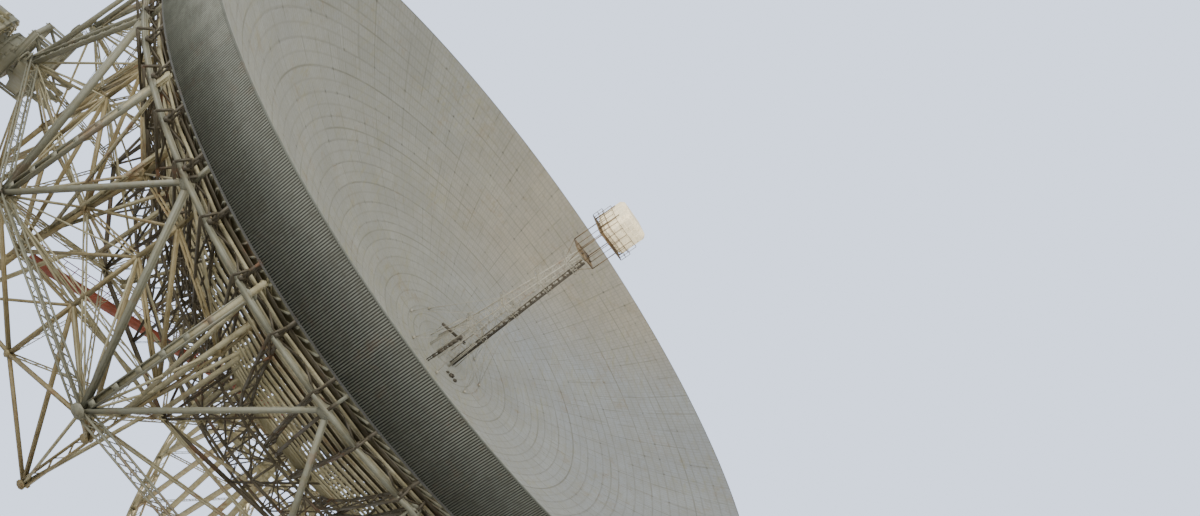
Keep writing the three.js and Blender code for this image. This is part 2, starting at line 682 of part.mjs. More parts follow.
for (const [sideName, side] of [['left', -1], ['right', 1]]) {
  const upright = v3(0, 0, 1);
  const acrossY = v3(0, side, 0);
  const inFace = stand(towerSide(false), v3(side * TOWER_IN, 0, TOWER_FOOT_Z), acrossY, upright);
  add(tower, `tower_${sideName}_inner_face`, inFace, steelPaint());
  const leaning = v3(side * (TOWER_TOP_OUT - TOWER_FOOT_OUT), 0, TOWER_TOP_Z - TOWER_FOOT_Z).normalize();
  const outFace = stand(towerSide(true), v3(side * TOWER_FOOT_OUT, 0, TOWER_FOOT_Z), acrossY, leaning);
  add(tower, `tower_${sideName}_outer_face`, level(outFace), steelPaint());
  for (const [endName, end] of [['front', -1], ['rear', 1]]) {
    const up = v3(0, -end * (TOWER_FOOT_HALF - TOWER_TOP_HALF), TOWER_TOP_Z - TOWER_FOOT_Z).normalize();
    const corner = v3(side * TOWER_IN, end * (TOWER_FOOT_HALF - TOWER_PLATE / 2), TOWER_FOOT_Z);
    const face = stand(towerEnd(), corner, v3(side, 0, 0), up);
    add(tower, `tower_${sideName}_${endName}_face`, level(face), steelPaint());
  }
}

// Bearing housings on the tower heads, bored for the trunnion shafts
function bearingHousing(side) {
  const { half, foot, flange, shoulder } = HOUSING;
  const base = TOWER_TOP_Z + GAP - AXIS_HEIGHT;
  const x0 = TOWER_IN - TOWER_PLATE / 2;
  const x1 = TOWER_TOP_OUT + TOWER_PLATE / 2;
  const shape = new THREE.Shape();
  shape.moveTo(-half - foot, base);
  shape.lineTo(half + foot, base);
  shape.lineTo(half + foot, base + flange);
  shape.lineTo(half, base + shoulder);
  shape.lineTo(half, 0);
  shape.absarc(0, 0, half, 0, Math.PI, false);
  shape.lineTo(-half, base + shoulder);
  shape.lineTo(-half - foot, base + flange);
  const bore = new THREE.Path();
  bore.absarc(0, 0, SHAFT_RADIUS + SHAFT_CLEARANCE, 0, 2 * Math.PI, true);
  shape.holes.push(bore);
  const body = new THREE.ExtrudeGeometry(shape, { depth: x1 - x0, bevelEnabled: false, curveSegments: 12 });
  return stand(body, v3(side > 0 ? x0 : -x1, 0, AXIS_HEIGHT), v3(0, 1, 0), v3(0, 0, 1));
}
add(tower, 'bearing_housing_left', bearingHousing(-1), steelPaint());
add(tower, 'bearing_housing_right', bearingHousing(1), steelPaint());

// Bogies: a frame under each end of a tower, with wheels on both rails
function bogie(side, end) {
  const { wheel, tread, offset, reach, width, depth, head, overhang } = BOGIE;
  const railTop = TRACK.height + RAIL_HEIGHT;
  const beamZ = railTop + wheel + depth * 2 / 3;
  const [near, far] = [TOWER_IN - overhang, TOWER_FOOT_OUT + overhang];
  const [x0, x1] = side > 0 ? [near, far] : [-far, -near];
  const y = end * TOWER_FOOT_HALF;
  const pieces = [block(x0, x1, y - head, y + head, beamZ + depth / 4, TOWER_FOOT_Z - GAP)];
  for (const [x, radius] of [[side * TOWER_IN, RAIL_RADII[0]], [side * TOWER_FOOT_OUT, RAIL_RADII[1]]]) {
    const heading = Math.atan2(y, x);
    const along = v3(-Math.sin(heading), Math.cos(heading), 0);
    const centre = v3(radius * Math.cos(heading), radius * Math.sin(heading), beamZ);
    const ends = [-reach, reach].map((run) => centre.clone().addScaledVector(along, run));
    pieces.push(bar(...ends, width, depth));
    for (const run of [-offset, offset]) {
      const round = new THREE.CylinderGeometry(wheel, wheel, tread, 16);
      const hubPoint = centre.clone().addScaledVector(along, run);
      round.rotateZ(Math.PI / 2).rotateZ(heading);
      pieces.push(round.translate(hubPoint.x, hubPoint.y, railTop + wheel + GAP));
    }
  }
  return join(pieces);
}
for (const [sideName, side] of [['left', -1], ['right', 1]]) {
  for (const [endName, end] of [['front', -1], ['rear', 1]]) {
    add(tower, `bogie_${sideName}_${endName}`, bogie(side, end), darkSteel());
  }
}

// Base girder: two flat lattices across the base, from tower to tower
function baseGirder() {
  const bays = 10;
  const reach = TOWER_IN - TOWER_PLATE / 2 - GAP;
  const foot = [];
  const top = [];
  for (let i = 0; i <= bays; i += 1) {
    const x = -reach + (2 * reach * i) / bays;
    foot.push(new THREE.Vector2(x, GIRDER_BOTTOM));
    top.push(new THREE.Vector2(x, GIRDER_TOP));
  }
  const cells = [];
  for (let i = 0; i < bays; i += 1) {
    if (i % 2) {
      cells.push([foot[i], foot[i + 1], top[i]], [foot[i + 1], top[i + 1], top[i]]);
    } else {
      cells.push([foot[i], foot[i + 1], top[i + 1]], [foot[i], top[i + 1], top[i]]);
    }
  }
  const outline = [foot[0], foot[bays], top[bays], top[0]];
  return lattice(outline, cells, LEG, TOWER_BRACE, GIRDER_PLATE);
}
for (const [endName, end] of [['front', -1], ['rear', 1]]) {
  const placed = stand(baseGirder(), v3(0, end * GIRDER_Y, 0), v3(1, 0, 0), v3(0, 0, 1));
  add(tower, `base_girder_${endName}`, placed, steelPaint());
}

// Cradle: cross beams on the base girder and the rollers that the wheel girders run over
function cradle() {
  const { roller, spread, half, journal, drop, face, running, tie } = CRADLE;
  const reach = GIRDER_Y - GIRDER_PLATE / 2 - GAP;
  const contact = Math.sqrt((WHEEL_RADIUS + roller + running) ** 2 - spread ** 2);
  const rollerZ = AXIS_HEIGHT - contact;
  const bottom = GIRDER_TOP - drop;
  const pieces = [block(-WHEEL_X, WHEEL_X, -tie, tie, bottom + tie / 2, bottom + 2 * tie)];
  for (const x of [-WHEEL_X, WHEEL_X]) {
    pieces.push(block(x - half, x + half, -reach, reach, bottom, GIRDER_TOP - half / 3));
    for (const y of [-spread, spread]) {
      pieces.push(block(x - half, x + half, y - journal, y + journal, GIRDER_TOP - half, rollerZ));
      pieces.push(cylinderAlongX(roller, x - face / 2, x + face / 2, 16).translate(0, y, rollerZ));
    }
  }
  return join(pieces);
}
add(tower, 'cradle', cradle(), darkSteel());

// Pivot frame: the collar round the pintle, held between the two base girders
function pivotFrame() {
  const { pin, top, clearance } = PINTLE;
  const { radius, height, arm } = COLLAR;
  const reach = GIRDER_Y - GIRDER_PLATE / 2 - GAP;
  const bottom = GIRDER_BOTTOM;
  const upright = (r, length) => solid(new THREE.CylinderGeometry(r, r, length, 24).rotateX(Math.PI / 2));
  const arms = solid(block(-arm, arm, -reach, reach, bottom, bottom + arm));
  const collar = upright(radius, height).translate([0, 0, bottom + height / 2]);
  return geometryOf(arms.add(collar).subtract(upright(pin + clearance, 2 * top)));
}
add(tower, 'pivot_frame', pivotFrame(), darkSteel());

// Ground works: the double track ring and the pintle block
function trackRing() {
  const { inner, outer, height, facets } = TRACK;
  const points = [[inner, 0], [outer, 0], [outer, height]];
  for (const radius of RAIL_RADII.slice().reverse()) {
    points.push([radius + RAIL_WIDTH / 2, height], [radius + RAIL_WIDTH / 2, height + RAIL_HEIGHT]);
    points.push([radius - RAIL_WIDTH / 2, height + RAIL_HEIGHT], [radius - RAIL_WIDTH / 2, height]);
  }
  points.push([inner, height], [inner, 0]);
  const profile = points.map(([r, z]) => new THREE.Vector2(r, z));
  return new THREE.LatheGeometry(profile, facets).rotateX(Math.PI / 2);
}
add(part, 'track_ring', trackRing(), concrete());

function pintleBlock() {
  const { radius, height, pin, top } = PINTLE;
  const profile = [[0, 0], [radius, 0], [radius, height], [pin, height], [pin, top], [0, top]];
  const points = profile.map(([r, z]) => new THREE.Vector2(r, z));
  return new THREE.LatheGeometry(points, 24).rotateX(Math.PI / 2);
}
add(part, 'pintle_block', pintleBlock(), concrete());

export default part;
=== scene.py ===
# %% [markdown]
# Dressing a radio telescope
# The object is a fully steerable radio telescope, built as a scale model at 1:10: a deep paraboloid
# bowl that tips between two lattice towers, which turn on a ring track. Its solids come from the
# frame and stay where they are. This file gives them paint, rust and sheet seams, and puts the fine
# work round them: corrugated cladding, laced columns, purlins, rails and ladders.
# Every length is in metres of the model, so 0.1 here is one real metre.

# %% Load the frame
import json
import math

import bpy
import numpy as np
from mathutils import Matrix, Vector


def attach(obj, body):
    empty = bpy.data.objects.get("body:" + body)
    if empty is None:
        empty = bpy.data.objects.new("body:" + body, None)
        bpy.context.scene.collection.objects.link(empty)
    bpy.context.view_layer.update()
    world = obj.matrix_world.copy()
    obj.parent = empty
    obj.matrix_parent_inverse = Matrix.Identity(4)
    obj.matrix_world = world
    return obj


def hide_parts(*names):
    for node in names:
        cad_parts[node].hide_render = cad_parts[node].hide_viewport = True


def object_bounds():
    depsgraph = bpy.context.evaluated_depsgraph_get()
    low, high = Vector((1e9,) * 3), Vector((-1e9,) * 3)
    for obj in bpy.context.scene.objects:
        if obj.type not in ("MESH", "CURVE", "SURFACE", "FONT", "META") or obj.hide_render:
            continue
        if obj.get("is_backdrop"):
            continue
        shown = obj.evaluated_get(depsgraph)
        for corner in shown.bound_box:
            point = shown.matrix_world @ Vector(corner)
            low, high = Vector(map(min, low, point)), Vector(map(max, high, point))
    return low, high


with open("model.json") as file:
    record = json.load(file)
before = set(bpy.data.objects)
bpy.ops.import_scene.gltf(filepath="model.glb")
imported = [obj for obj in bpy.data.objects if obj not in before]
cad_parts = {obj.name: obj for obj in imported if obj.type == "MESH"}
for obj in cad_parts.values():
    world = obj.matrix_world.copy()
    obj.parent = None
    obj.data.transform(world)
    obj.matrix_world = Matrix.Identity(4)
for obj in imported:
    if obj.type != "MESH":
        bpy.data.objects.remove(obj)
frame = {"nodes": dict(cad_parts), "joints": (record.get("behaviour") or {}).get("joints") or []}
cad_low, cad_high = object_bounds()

print("CAD box", [round(v, 3) for v in (*cad_low, *cad_high)])

# %% [markdown]
# The bowl has its own frame
# The bowl leans back on its trunnions, so its pieces are easiest to make in a frame of their own:
# x along the elevation axis, z along the bowl's aim. The frame's elevation joint says where that axis
# is and how far the bowl may still tip up, and from these two facts one matrix takes a point of the
# bowl into the scene. Every bowl piece is made in bowl coordinates and moved by that matrix once.

# %% The bowl's frame
elevation = next(joint for joint in frame["joints"] if joint["name"] == "elevation")
AXIS = Vector(elevation["pos_m"])
TIP_BACK = math.radians(elevation["range_deg"][1])
BOWL = Matrix.Translation(AXIS) @ Matrix.Rotation(TIP_BACK, 4, "X")
X, Y, UP = (1, 0, 0), (0, 1, 0), (0, 0, 1)

def node_points(node):
    return np.array([v.co for v in frame["nodes"][node].data.vertices], float)

def bowl_points(node):
    inverse = np.array(BOWL.inverted())
    return node_points(node) @ inverse[:3, :3].T + inverse[:3, 3]

fascia = bowl_points("rim_fascia_left")
RIM_RADIUS = float(np.hypot(fascia[:, 0], fascia[:, 1]).max())
RIM_Z = float(fascia[:, 2].max())
SKIN_Z = float(fascia[:, 2].min())
print("rim radius", round(RIM_RADIUS, 3), "rim plane", round(RIM_Z, 3), "fascia foot", round(SKIN_Z, 3))

def polar(radius, degrees, z=0.0):
    angle = math.radians(degrees)
    return Vector((radius * math.cos(angle), radius * math.sin(angle), z))

def raised(point, height):
    return Vector(point) + Vector((0, 0, height))

# %% [markdown]
# Camera
# The photograph was taken from the ground on the left, close under the bowl, with a wide lens that
# looks steeply up. The place was worked out by fitting the near rim, the rear edge of the cladding
# and the far rim. The optical centre lies a little below the middle of the picture, so the sensor is
# shifted as on a view camera.

# %% Camera
PHOTO_WIDTH, PHOTO_HEIGHT = 1200, 516
FOCAL_PIXELS = 640
CENTRE_ROW = 372
EYE = Vector((-3.2909, -4.6566, 0.1737))
HEADING, PITCH = 0.999, 0.748
SENSOR = 36.0

camera = bpy.data.objects.new("camera", bpy.data.cameras.new("camera"))
bpy.context.scene.collection.objects.link(camera)
ahead = math.cos(PITCH)
look = Vector((math.sin(HEADING) * ahead, math.cos(HEADING) * ahead, math.sin(PITCH)))
camera.location = EYE
camera.rotation_mode = "QUATERNION"
camera.rotation_quaternion = look.to_track_quat("-Z", "Y")
camera.data.sensor_width = SENSOR
camera.data.lens = SENSOR * FOCAL_PIXELS / PHOTO_WIDTH
camera.data.shift_y = (CENTRE_ROW - PHOTO_HEIGHT / 2) / PHOTO_WIDTH
camera.data.clip_start, camera.data.clip_end = 0.05, 200
bpy.context.scene.camera = camera
print("lens", round(camera.data.lens, 2), "mm, shift", round(camera.data.shift_y, 3))

# %% [markdown]
# Light and floor
# Out of doors this thing stands against a bright sky, with the sun behind the bowl and its near side
# in soft shade. In a studio the same look comes from a pale world all round, a warm panel high behind
# the bowl, which edges the steelwork, and a whiter one low at the left, which stands for the light
# that pale ground throws back up into the lattice. A small third panel brings out the cabin and casts
# no shadow on the dish. The world is brighter where the camera sees it than as a lamp, so that the
# lattice stands out against it and its own shades stay deep.

# %% Light and floor
LAMP_STRENGTH, SIGHT_STRENGTH = 0.72, 1.95
LAMP_COLOUR, SIGHT_COLOUR = (0.86, 0.91, 0.98, 1), (0.70, 0.80, 1.0, 1)
world = bpy.context.scene.world or bpy.data.worlds.new("world")
bpy.context.scene.world = world
world.use_nodes = True
background = world.node_tree.nodes["Background"]
sight = world.node_tree.nodes.new("ShaderNodeLightPath")
sky = world.node_tree.nodes.new("ShaderNodeMix")
sky.data_type = "RGBA"
sky.inputs[6].default_value = LAMP_COLOUR
sky.inputs[7].default_value = SIGHT_COLOUR
world.node_tree.links.new(sight.outputs["Is Camera Ray"], sky.inputs[0])
world.node_tree.links.new(sky.outputs[2], background.inputs["Color"])
strength = world.node_tree.nodes.new("ShaderNodeMapRange")
strength.inputs["To Min"].default_value = LAMP_STRENGTH
strength.inputs["To Max"].default_value = SIGHT_STRENGTH
world.node_tree.links.new(sight.outputs["Is Camera Ray"], strength.inputs["Value"])
world.node_tree.links.new(strength.outputs["Result"], background.inputs["Strength"])

def soft_panel(name, place, target, width, power, colour, shadow=True):
    """A square area light of the given width that looks from its place at a target."""
    light = bpy.data.lights.new(name, "AREA")
    light.use_shadow = shadow
    light.shape = "RECTANGLE"
    light.size = light.size_y = width
    light.energy = power
    light.color = colour
    lamp = bpy.data.objects.new(name, light)
    lamp.location = place
    lamp.rotation_mode = "QUATERNION"
    lamp.rotation_quaternion = (Vector(target) - Vector(place)).to_track_quat("-Z", "Y")
    bpy.context.scene.collection.objects.link(lamp)

soft_panel("panel_left", (-15, -9, 6), (-2, 0, 5), 9, 1500, (1.0, 0.98, 0.94))
soft_panel("panel_behind", (12, 7, 20), (0, 1, 5), 6, 9000, (1.0, 0.88, 0.68))
soft_panel("panel_cabin", (-2.4, -4.9, 4.0), (0, -2.8, 5.7), 0.8, 180, (1, 0.95, 0.85), False)

bpy.ops.object.select_all(action="DESELECT")
bpy.ops.mesh.primitive_plane_add(size=400, location=(0, 0, -0.002))
floor = bpy.context.active_object
floor.name = "floor"
floor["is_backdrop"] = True
print("lights and floor are in place")

# %% [markdown]
# Shared effects for the paints
# Two effects come back in most of the finishes, so each is a node group that is built once.
# "weather" breaks up a paint: broad fading, fine grime, stains that run down the real vertical, and
# small corroded patches with ragged edges. "bowl_polar" turns a place on the bowl into its radius and
# its turn, as an engineer would measure it.

# %% Node helpers

class Nodes:
    """Places nodes in a tree and joins them, so that a material reads as a list of steps."""

    def __init__(self, tree):
        self.tree = tree

    def add(self, kind, inputs=None, **settings):
        node = self.tree.nodes.new(kind)
        for key, value in settings.items():
            setattr(node, key, value)
        for key, value in (inputs or {}).items():
            if isinstance(value, bpy.types.NodeSocket):
                self.tree.links.new(value, node.inputs[key])
            else:
                node.inputs[key].default_value = value
        return node

    def math(self, operation, first, second=0.0, clamp=False):
        node = self.add("ShaderNodeMath", {0: first, 1: second}, operation=operation, use_clamp=clamp)
        return node.outputs[0]

    def ramp(self, value, low, high):
        node = self.add("ShaderNodeMapRange", {"Value": value, "From Min": low, "From Max": high})
        return node.outputs["Result"]

    def mix(self, share, first, second, blend="MIX"):
        node = self.add("ShaderNodeMix", data_type="RGBA", blend_type=blend)
        for socket, value in zip((node.inputs[0], node.inputs[6], node.inputs[7]), (share, first, second)):
            if isinstance(value, bpy.types.NodeSocket):
                self.tree.links.new(value, socket)
            else:
                socket.default_value = value
        return node.outputs[2]

    def cover(self, mask, strength, base, colour):
        """A colour laid over the base, as strongly as the mask says."""
        return self.mix(self.math("MULTIPLY", mask, strength), base, (*colour, 1))

    def noise(self, vector, scale, detail=3.0, roughness=0.6):
        inputs = {"Vector": vector, "Scale": scale, "Detail": detail, "Roughness": roughness}
        return self.add("ShaderNodeTexNoise", inputs).outputs["Fac"]

    def stretched(self, vector, scale):
        node = self.add("ShaderNodeMapping", {"Vector": vector, "Scale": scale})
        return node.outputs["Vector"]

print("nodes can be placed, joined and mixed")

# %% A group of nodes with its sockets
def shader_group(name, sockets_in, sockets_out):
    tree = bpy.data.node_groups.new(name, "ShaderNodeTree")
    for socket, kind, value in sockets_in:
        made = tree.interface.new_socket(socket, in_out="INPUT", socket_type=kind)
        if value is not None:
            made.default_value = value
    for socket, kind in sockets_out:
        tree.interface.new_socket(socket, in_out="OUTPUT", socket_type=kind)
    nodes = Nodes(tree)
    source = nodes.add("NodeGroupInput").outputs
    sink = nodes.add("NodeGroupOutput").inputs
    return tree, nodes, source, sink

print("node groups can be made")

# %% Weather: fading, grime and runs
weather, nodes, source, sink = shader_group(
    "weather",
    [
        ("Vector", "NodeSocketVector", None),
        ("Paint", "NodeSocketColor", (0.5, 0.5, 0.45, 1)),
        ("Stain", "NodeSocketColor", (0.2, 0.17, 0.1, 1)),
        ("Rust", "NodeSocketColor", (0.2, 0.07, 0.02, 1)),
        ("Staining", "NodeSocketFloat", 0.4),
        ("Rusting", "NodeSocketFloat", 0.3),
        ("Grain", "NodeSocketFloat", 1.0),
    ],
    [("Color", "NodeSocketColor"), ("Roughness", "NodeSocketFloat"), ("Height", "NodeSocketFloat")],
)
scaled = nodes.add("ShaderNodeVectorMath", {0: source["Vector"], "Scale": source["Grain"]},
                   operation="SCALE")
place = scaled.outputs["Vector"]
fade = nodes.ramp(nodes.noise(place, 1.3, 2.0), 0.3, 0.7)
faded = nodes.mix(nodes.math("MULTIPLY", fade, 0.22), source["Paint"], (0.9, 0.9, 0.85, 1), "SOFT_LIGHT")
runs = nodes.noise(nodes.stretched(place, (9.0, 9.0, 0.9)), 2.2, 4.0, 0.65)
run_mask = nodes.math("MULTIPLY", nodes.ramp(runs, 0.46, 0.72), source["Staining"])
stained = nodes.mix(run_mask, faded, source["Stain"])
grime = nodes.noise(place, 34.0, 3.0, 0.7)
grimy = nodes.mix(nodes.math("MULTIPLY", nodes.ramp(grime, 0.45, 0.75), 0.25), stained, source["Stain"])
spots = nodes.math("MULTIPLY", nodes.noise(place, 11.0, 5.0, 0.75), nodes.noise(place, 2.4, 2.0))
rust_mask = nodes.math("MULTIPLY", nodes.ramp(spots, 0.31, 0.4), source["Rusting"], clamp=True)
rusty = nodes.mix(rust_mask, grimy, source["Rust"])
nodes.tree.links.new(rusty, sink["Color"])
rough = nodes.math("ADD", nodes.math("MULTIPLY", grime, 0.3), 0.4)
nodes.tree.links.new(nodes.math("ADD", rough, nodes.math("MULTIPLY", rust_mask, 0.25)), sink["Roughness"])
nodes.tree.links.new(nodes.math("ADD", grime, rust_mask), sink["Height"])
print("weather group has", len(nodes.tree.nodes), "nodes")

# %% Bowl polar: radius and turn of a place on the bowl
bowl_polar, nodes, source, sink = shader_group(
    "bowl_polar",
    [("Vector", "NodeSocketVector", None)],
    [("Radius", "NodeSocketFloat"), ("Turn", "NodeSocketFloat")],
)
split = nodes.add("ShaderNodeSeparateXYZ", {"Vector": source["Vector"]}).outputs
square = nodes.math("ADD", nodes.math("MULTIPLY", split["X"], split["X"]),
                    nodes.math("MULTIPLY", split["Y"], split["Y"]))
nodes.tree.links.new(nodes.math("SQRT", square), sink["Radius"])
turn = nodes.math("DIVIDE", nodes.math("ARCTAN2", split["Y"], split["X"]), 2 * math.pi)
nodes.tree.links.new(nodes.math("ADD", turn, 0.5), sink["Turn"])
print("bowl_polar gives radius and turn")

# %% Start of every finish
def new_finish(name):
    """A material, its node helper, its Principled shader and the object's own coordinates."""
    material = bpy.data.materials.new(name)
    material.use_nodes = True
    tree = material.node_tree
    shader = tree.nodes["Principled BSDF"]
    made = Nodes(tree)
    coordinates = made.add("ShaderNodeTexCoord").outputs["Object"]
    return material, made, shader, coordinates

def weathered(made, vector, **values):
    node = made.add("ShaderNodeGroup", node_tree=weather)
    made.tree.links.new(vector, node.inputs["Vector"])
    for key, value in values.items():
        socket = node.inputs[key.capitalize()]
        if isinstance(value, bpy.types.NodeSocket):
            made.tree.links.new(value, socket)
        else:
            socket.default_value = value
    return node.outputs

def surface(made, shader, outputs, strength, distance, height=None):
    """Feeds the weather group's outputs to the shader, with a height as a fine bump."""
    made.tree.links.new(outputs["Color"], shader.inputs["Base Color"])
    made.tree.links.new(outputs["Roughness"], shader.inputs["Roughness"])
    height = outputs["Height"] if height is None else height
    inputs = {"Height": height, "Strength": strength, "Distance": distance}
    node = made.add("ShaderNodeBump", inputs)
    made.tree.links.new(node.outputs["Normal"], shader.inputs["Normal"])

print("finishes start from a Principled shader and the weather group")

# %% [markdown]
# Painted steelwork
# The lattice is mild steel under many coats of pale grey-green paint, yellowed by algae on its lower faces
# and marked by rust where plates meet. One recipe does for all of it: a base colour, a stain and a rust
# colour fed to the weather group, then how strongly each shows. The dark members close behind the skin,
# the red beam and the cream cabin are the same recipe with other values; the near black of those members
# is painted shade, which stands for the shadow that the skin casts on them.

# %% Steel paints

def paint(name, colour, stain, rust, staining, rusting, grain=1.0):
    material, made, shader, coordinates = new_finish(name)
    outputs = weathered(made, coordinates, paint=(*colour, 1), stain=(*stain, 1), rust=(*rust, 1),
                        staining=staining, rusting=rusting, grain=grain)
    surface(made, shader, outputs, 0.25, 0.002)
    return material

OLIVE = (0.20, 0.155, 0.055)
RUST = (0.21, 0.075, 0.025)
steel_paint = paint("steel_paint", (0.37, 0.34, 0.22), OLIVE, RUST, 0.6, 0.5)
bright_steel = paint("bright_steel_paint", (0.23, 0.23, 0.175), OLIVE, RUST, 0.4, 0.3)
tan_steel = paint("tan_steel_paint", (0.29, 0.24, 0.13), (0.15, 0.10, 0.03), RUST, 0.6, 0.5)
# Painted shade: near black steel for the members in the skin's shadow, that is the bearers, radial
# trusses, boards, rail trusses, outer ring truss and brackets.
shade_dark_steel = paint("shade_dark_steel_paint", (0.075, 0.062, 0.038), (0.05, 0.04, 0.02), RUST, 0.6, 0.5)
mast_paint = paint("mast_paint", (0.33, 0.32, 0.275), OLIVE, RUST, 0.4, 0.4)
# Near black: on the ladderway it is painted shade for the mast's face in shadow, and the machinery at the
# mast's foot is painted the same dark.
mast_dark_and_shade = paint("mast_dark_and_shade_paint", (0.06, 0.05, 0.035), (0.03, 0.025, 0.015), RUST, 0.4, 0.5)
brown_steel = paint("brown_steel_paint", (0.14, 0.10, 0.055), (0.06, 0.045, 0.025), RUST, 0.4, 0.4)
dark_steel = paint("dark_steel_paint", (0.09, 0.09, 0.085), (0.05, 0.04, 0.025), RUST, 0.4, 0.35)
red_paint = paint("red_paint", (0.23, 0.055, 0.03), (0.09, 0.035, 0.02), RUST, 0.45, 0.4)
cream_paint = paint("cream_paint", (0.94, 0.83, 0.60), OLIVE, RUST, 0.3, 0.25)
concrete = paint("concrete", (0.42, 0.41, 0.38), (0.2, 0.19, 0.16), (0.26, 0.2, 0.13), 0.5, 0.2, 1.6)
print("steel paints made")

# %% [markdown]
# The reflector's finish
# The reflecting face is made of thin steel sheets, about two metres by three and a half, welded edge
# to edge in rings, with the short seams staggered like bricks. Each sheet has taken the paint and the
# weather a little differently, dirt sits along the welds, and rust and algae have run from them.
# A faint net of finer seams, a metre apart, lies over all. A picture of it would have to be mapped on, so
# it is worked out instead: radius and turn give the ring and the sheet that a point belongs to, and how
# far it is from the nearest weld. To the right the colour turns paler and cooler, and high up there a warm
# glow of the sun is painted on as painted light, so two broad tints follow the place as well.

# %% Sheets of the reflector
SHEET_RING = 0.19
SHEET_LENGTH = 0.34

def bowl_place(made, coordinates):
    """Radius and turn of a point, measured in the bowl's own frame."""
    inputs = {"Vector": coordinates, "Location": AXIS, "Rotation": (TIP_BACK, 0, 0)}
    local = made.add("ShaderNodeMapping", inputs, vector_type="TEXTURE").outputs["Vector"]
    return made.add("ShaderNodeGroup", {"Vector": local}, node_tree=bowl_polar).outputs

def sheet_pattern(made, polar_outputs):
    """Tint of the sheet that a point lies in, and nearness to its welds, from 0 to 1."""
    ring = made.math("DIVIDE", polar_outputs["Radius"], SHEET_RING)
    row = made.math("FLOOR", ring)
    middle = made.math("ADD", row, 0.5)
    sheets = made.math("MULTIPLY", middle, 2 * math.pi * SHEET_RING / SHEET_LENGTH)
    per_turn = made.math("FLOOR", sheets)
    stagger = made.math("MULTIPLY", made.math("MODULO", row, 2.0), 0.5)
    along = made.math("ADD", made.math("MULTIPLY", polar_outputs["Turn"], per_turn), stagger)
    sheet = made.math("FLOOR", along)
    spot = made.add("ShaderNodeCombineXYZ", {"X": row, "Y": sheet}).outputs["Vector"]
    tint = made.add("ShaderNodeTexWhiteNoise", {"Vector": spot}, noise_dimensions="3D").outputs["Value"]
    ring_edge = made.math("PINGPONG", ring, 0.5)
    sheet_edge = made.math("PINGPONG", along, 0.5)
    ring_near = made.ramp(ring_edge, 0.04, 0.0)
    sheet_near = made.ramp(sheet_edge, 0.025, 0.0)
    return tint, made.math("MAXIMUM", ring_near, sheet_near)

def broken(made, line, vector, scale, low, high):
    """A line that comes and goes along its length, as dirt does."""
    return made.math("MULTIPLY", line, made.ramp(made.noise(vector, scale, 3.0), low, high), clamp=True)

def fine_line(made, value, count, width):
    """Thin even lines, count of them where the value grows by one."""
    return made.ramp(made.math("PINGPONG", made.math("MULTIPLY", value, count), 0.5), width, 0.0)

print("sheets of", SHEET_RING, "by", SHEET_LENGTH, "m")

# %% Tints, seams and stains of the reflector
dish_finish, made, shader, coordinates = new_finish("dish_panels")
place = bowl_place(made, coordinates)
tint, near_weld = sheet_pattern(made, place)
base = made.mix(tint, (0.246, 0.250, 0.226, 1), (0.278, 0.280, 0.252, 1))
spread = made.add("ShaderNodeSeparateXYZ", {"Vector": coordinates}).outputs
wander = made.math("MULTIPLY", made.noise(coordinates, 0.9, 2.0), 2.0)
pale = made.ramp(made.math("ADD", spread["X"], wander), 0.6, 2.8)
base = made.cover(pale, 0.7, base, (0.275, 0.30, 0.335))
# A paler, cooler tint to the right, then painted light: a warm glow of the sun, high up on the right.
to_the_right = made.ramp(made.math("ADD", spread["X"], wander), -0.2, 1.6)
painted_sun_glow = made.math("MULTIPLY", to_the_right, made.ramp(spread["Z"], 6.4, 7.6))
base = made.cover(painted_sun_glow, 0.75, base, (0.34, 0.295, 0.215))
blotches = made.ramp(made.noise(coordinates, 4.5, 5.0, 0.7), 0.35, 0.68)
base = made.cover(blotches, 0.42, base, (0.215, 0.21, 0.165))
rings_of_net = fine_line(made, place["Radius"], 10.5, 0.14)
net = made.math("MAXIMUM", rings_of_net, fine_line(made, place["Turn"], 420.0, 0.14))
base = made.cover(net, 0.34, base, (0.12, 0.115, 0.09))
round_seams = broken(made, fine_line(made, place["Radius"], 2.1, 0.022), coordinates, 1.8, 0.36, 0.56)
long_seams = broken(made, fine_line(made, place["Turn"], 66.0, 0.040), coordinates, 2.9, 0.40, 0.56)
dark_seams = made.math("MAXIMUM", round_seams, long_seams)
rows_of_holes = fine_line(made, place["Radius"], 5.25, 0.09)
crossings = made.math("MINIMUM", rows_of_holes, fine_line(made, place["Turn"], 66.0, 0.07))
holes = broken(made, crossings, coordinates, 5.5, 0.52, 0.58)
dirt_line = made.math("MAXIMUM", broken(made, near_weld, coordinates, 2.6, 0.50, 0.72), dark_seams)
lined = made.cover(dirt_line, 0.62, base, (0.10, 0.095, 0.06))
lined = made.cover(holes, 0.85, lined, (0.03, 0.028, 0.02))
hanging = made.noise(made.stretched(coordinates, (7.0, 7.0, 0.8)), 2.6, 4.0, 0.65)
overgrown = made.ramp(made.noise(coordinates, 1.1, 2.0), 0.40, 0.62)
algae = made.math("MULTIPLY", made.ramp(hanging, 0.52, 0.74), overgrown)
lined = made.cover(algae, 0.6, lined, (0.25, 0.235, 0.12))
outputs = weathered(made, coordinates, paint=lined, stain=(0.21, 0.20, 0.13, 1),
                    rust=(0.22, 0.155, 0.06, 1), staining=0.25, rusting=0.22)
surface(made, shader, outputs, 0.3, 0.002, made.math("SUBTRACT", outputs["Height"], near_weld))
print("reflector finish has", len(made.tree.nodes), "nodes")

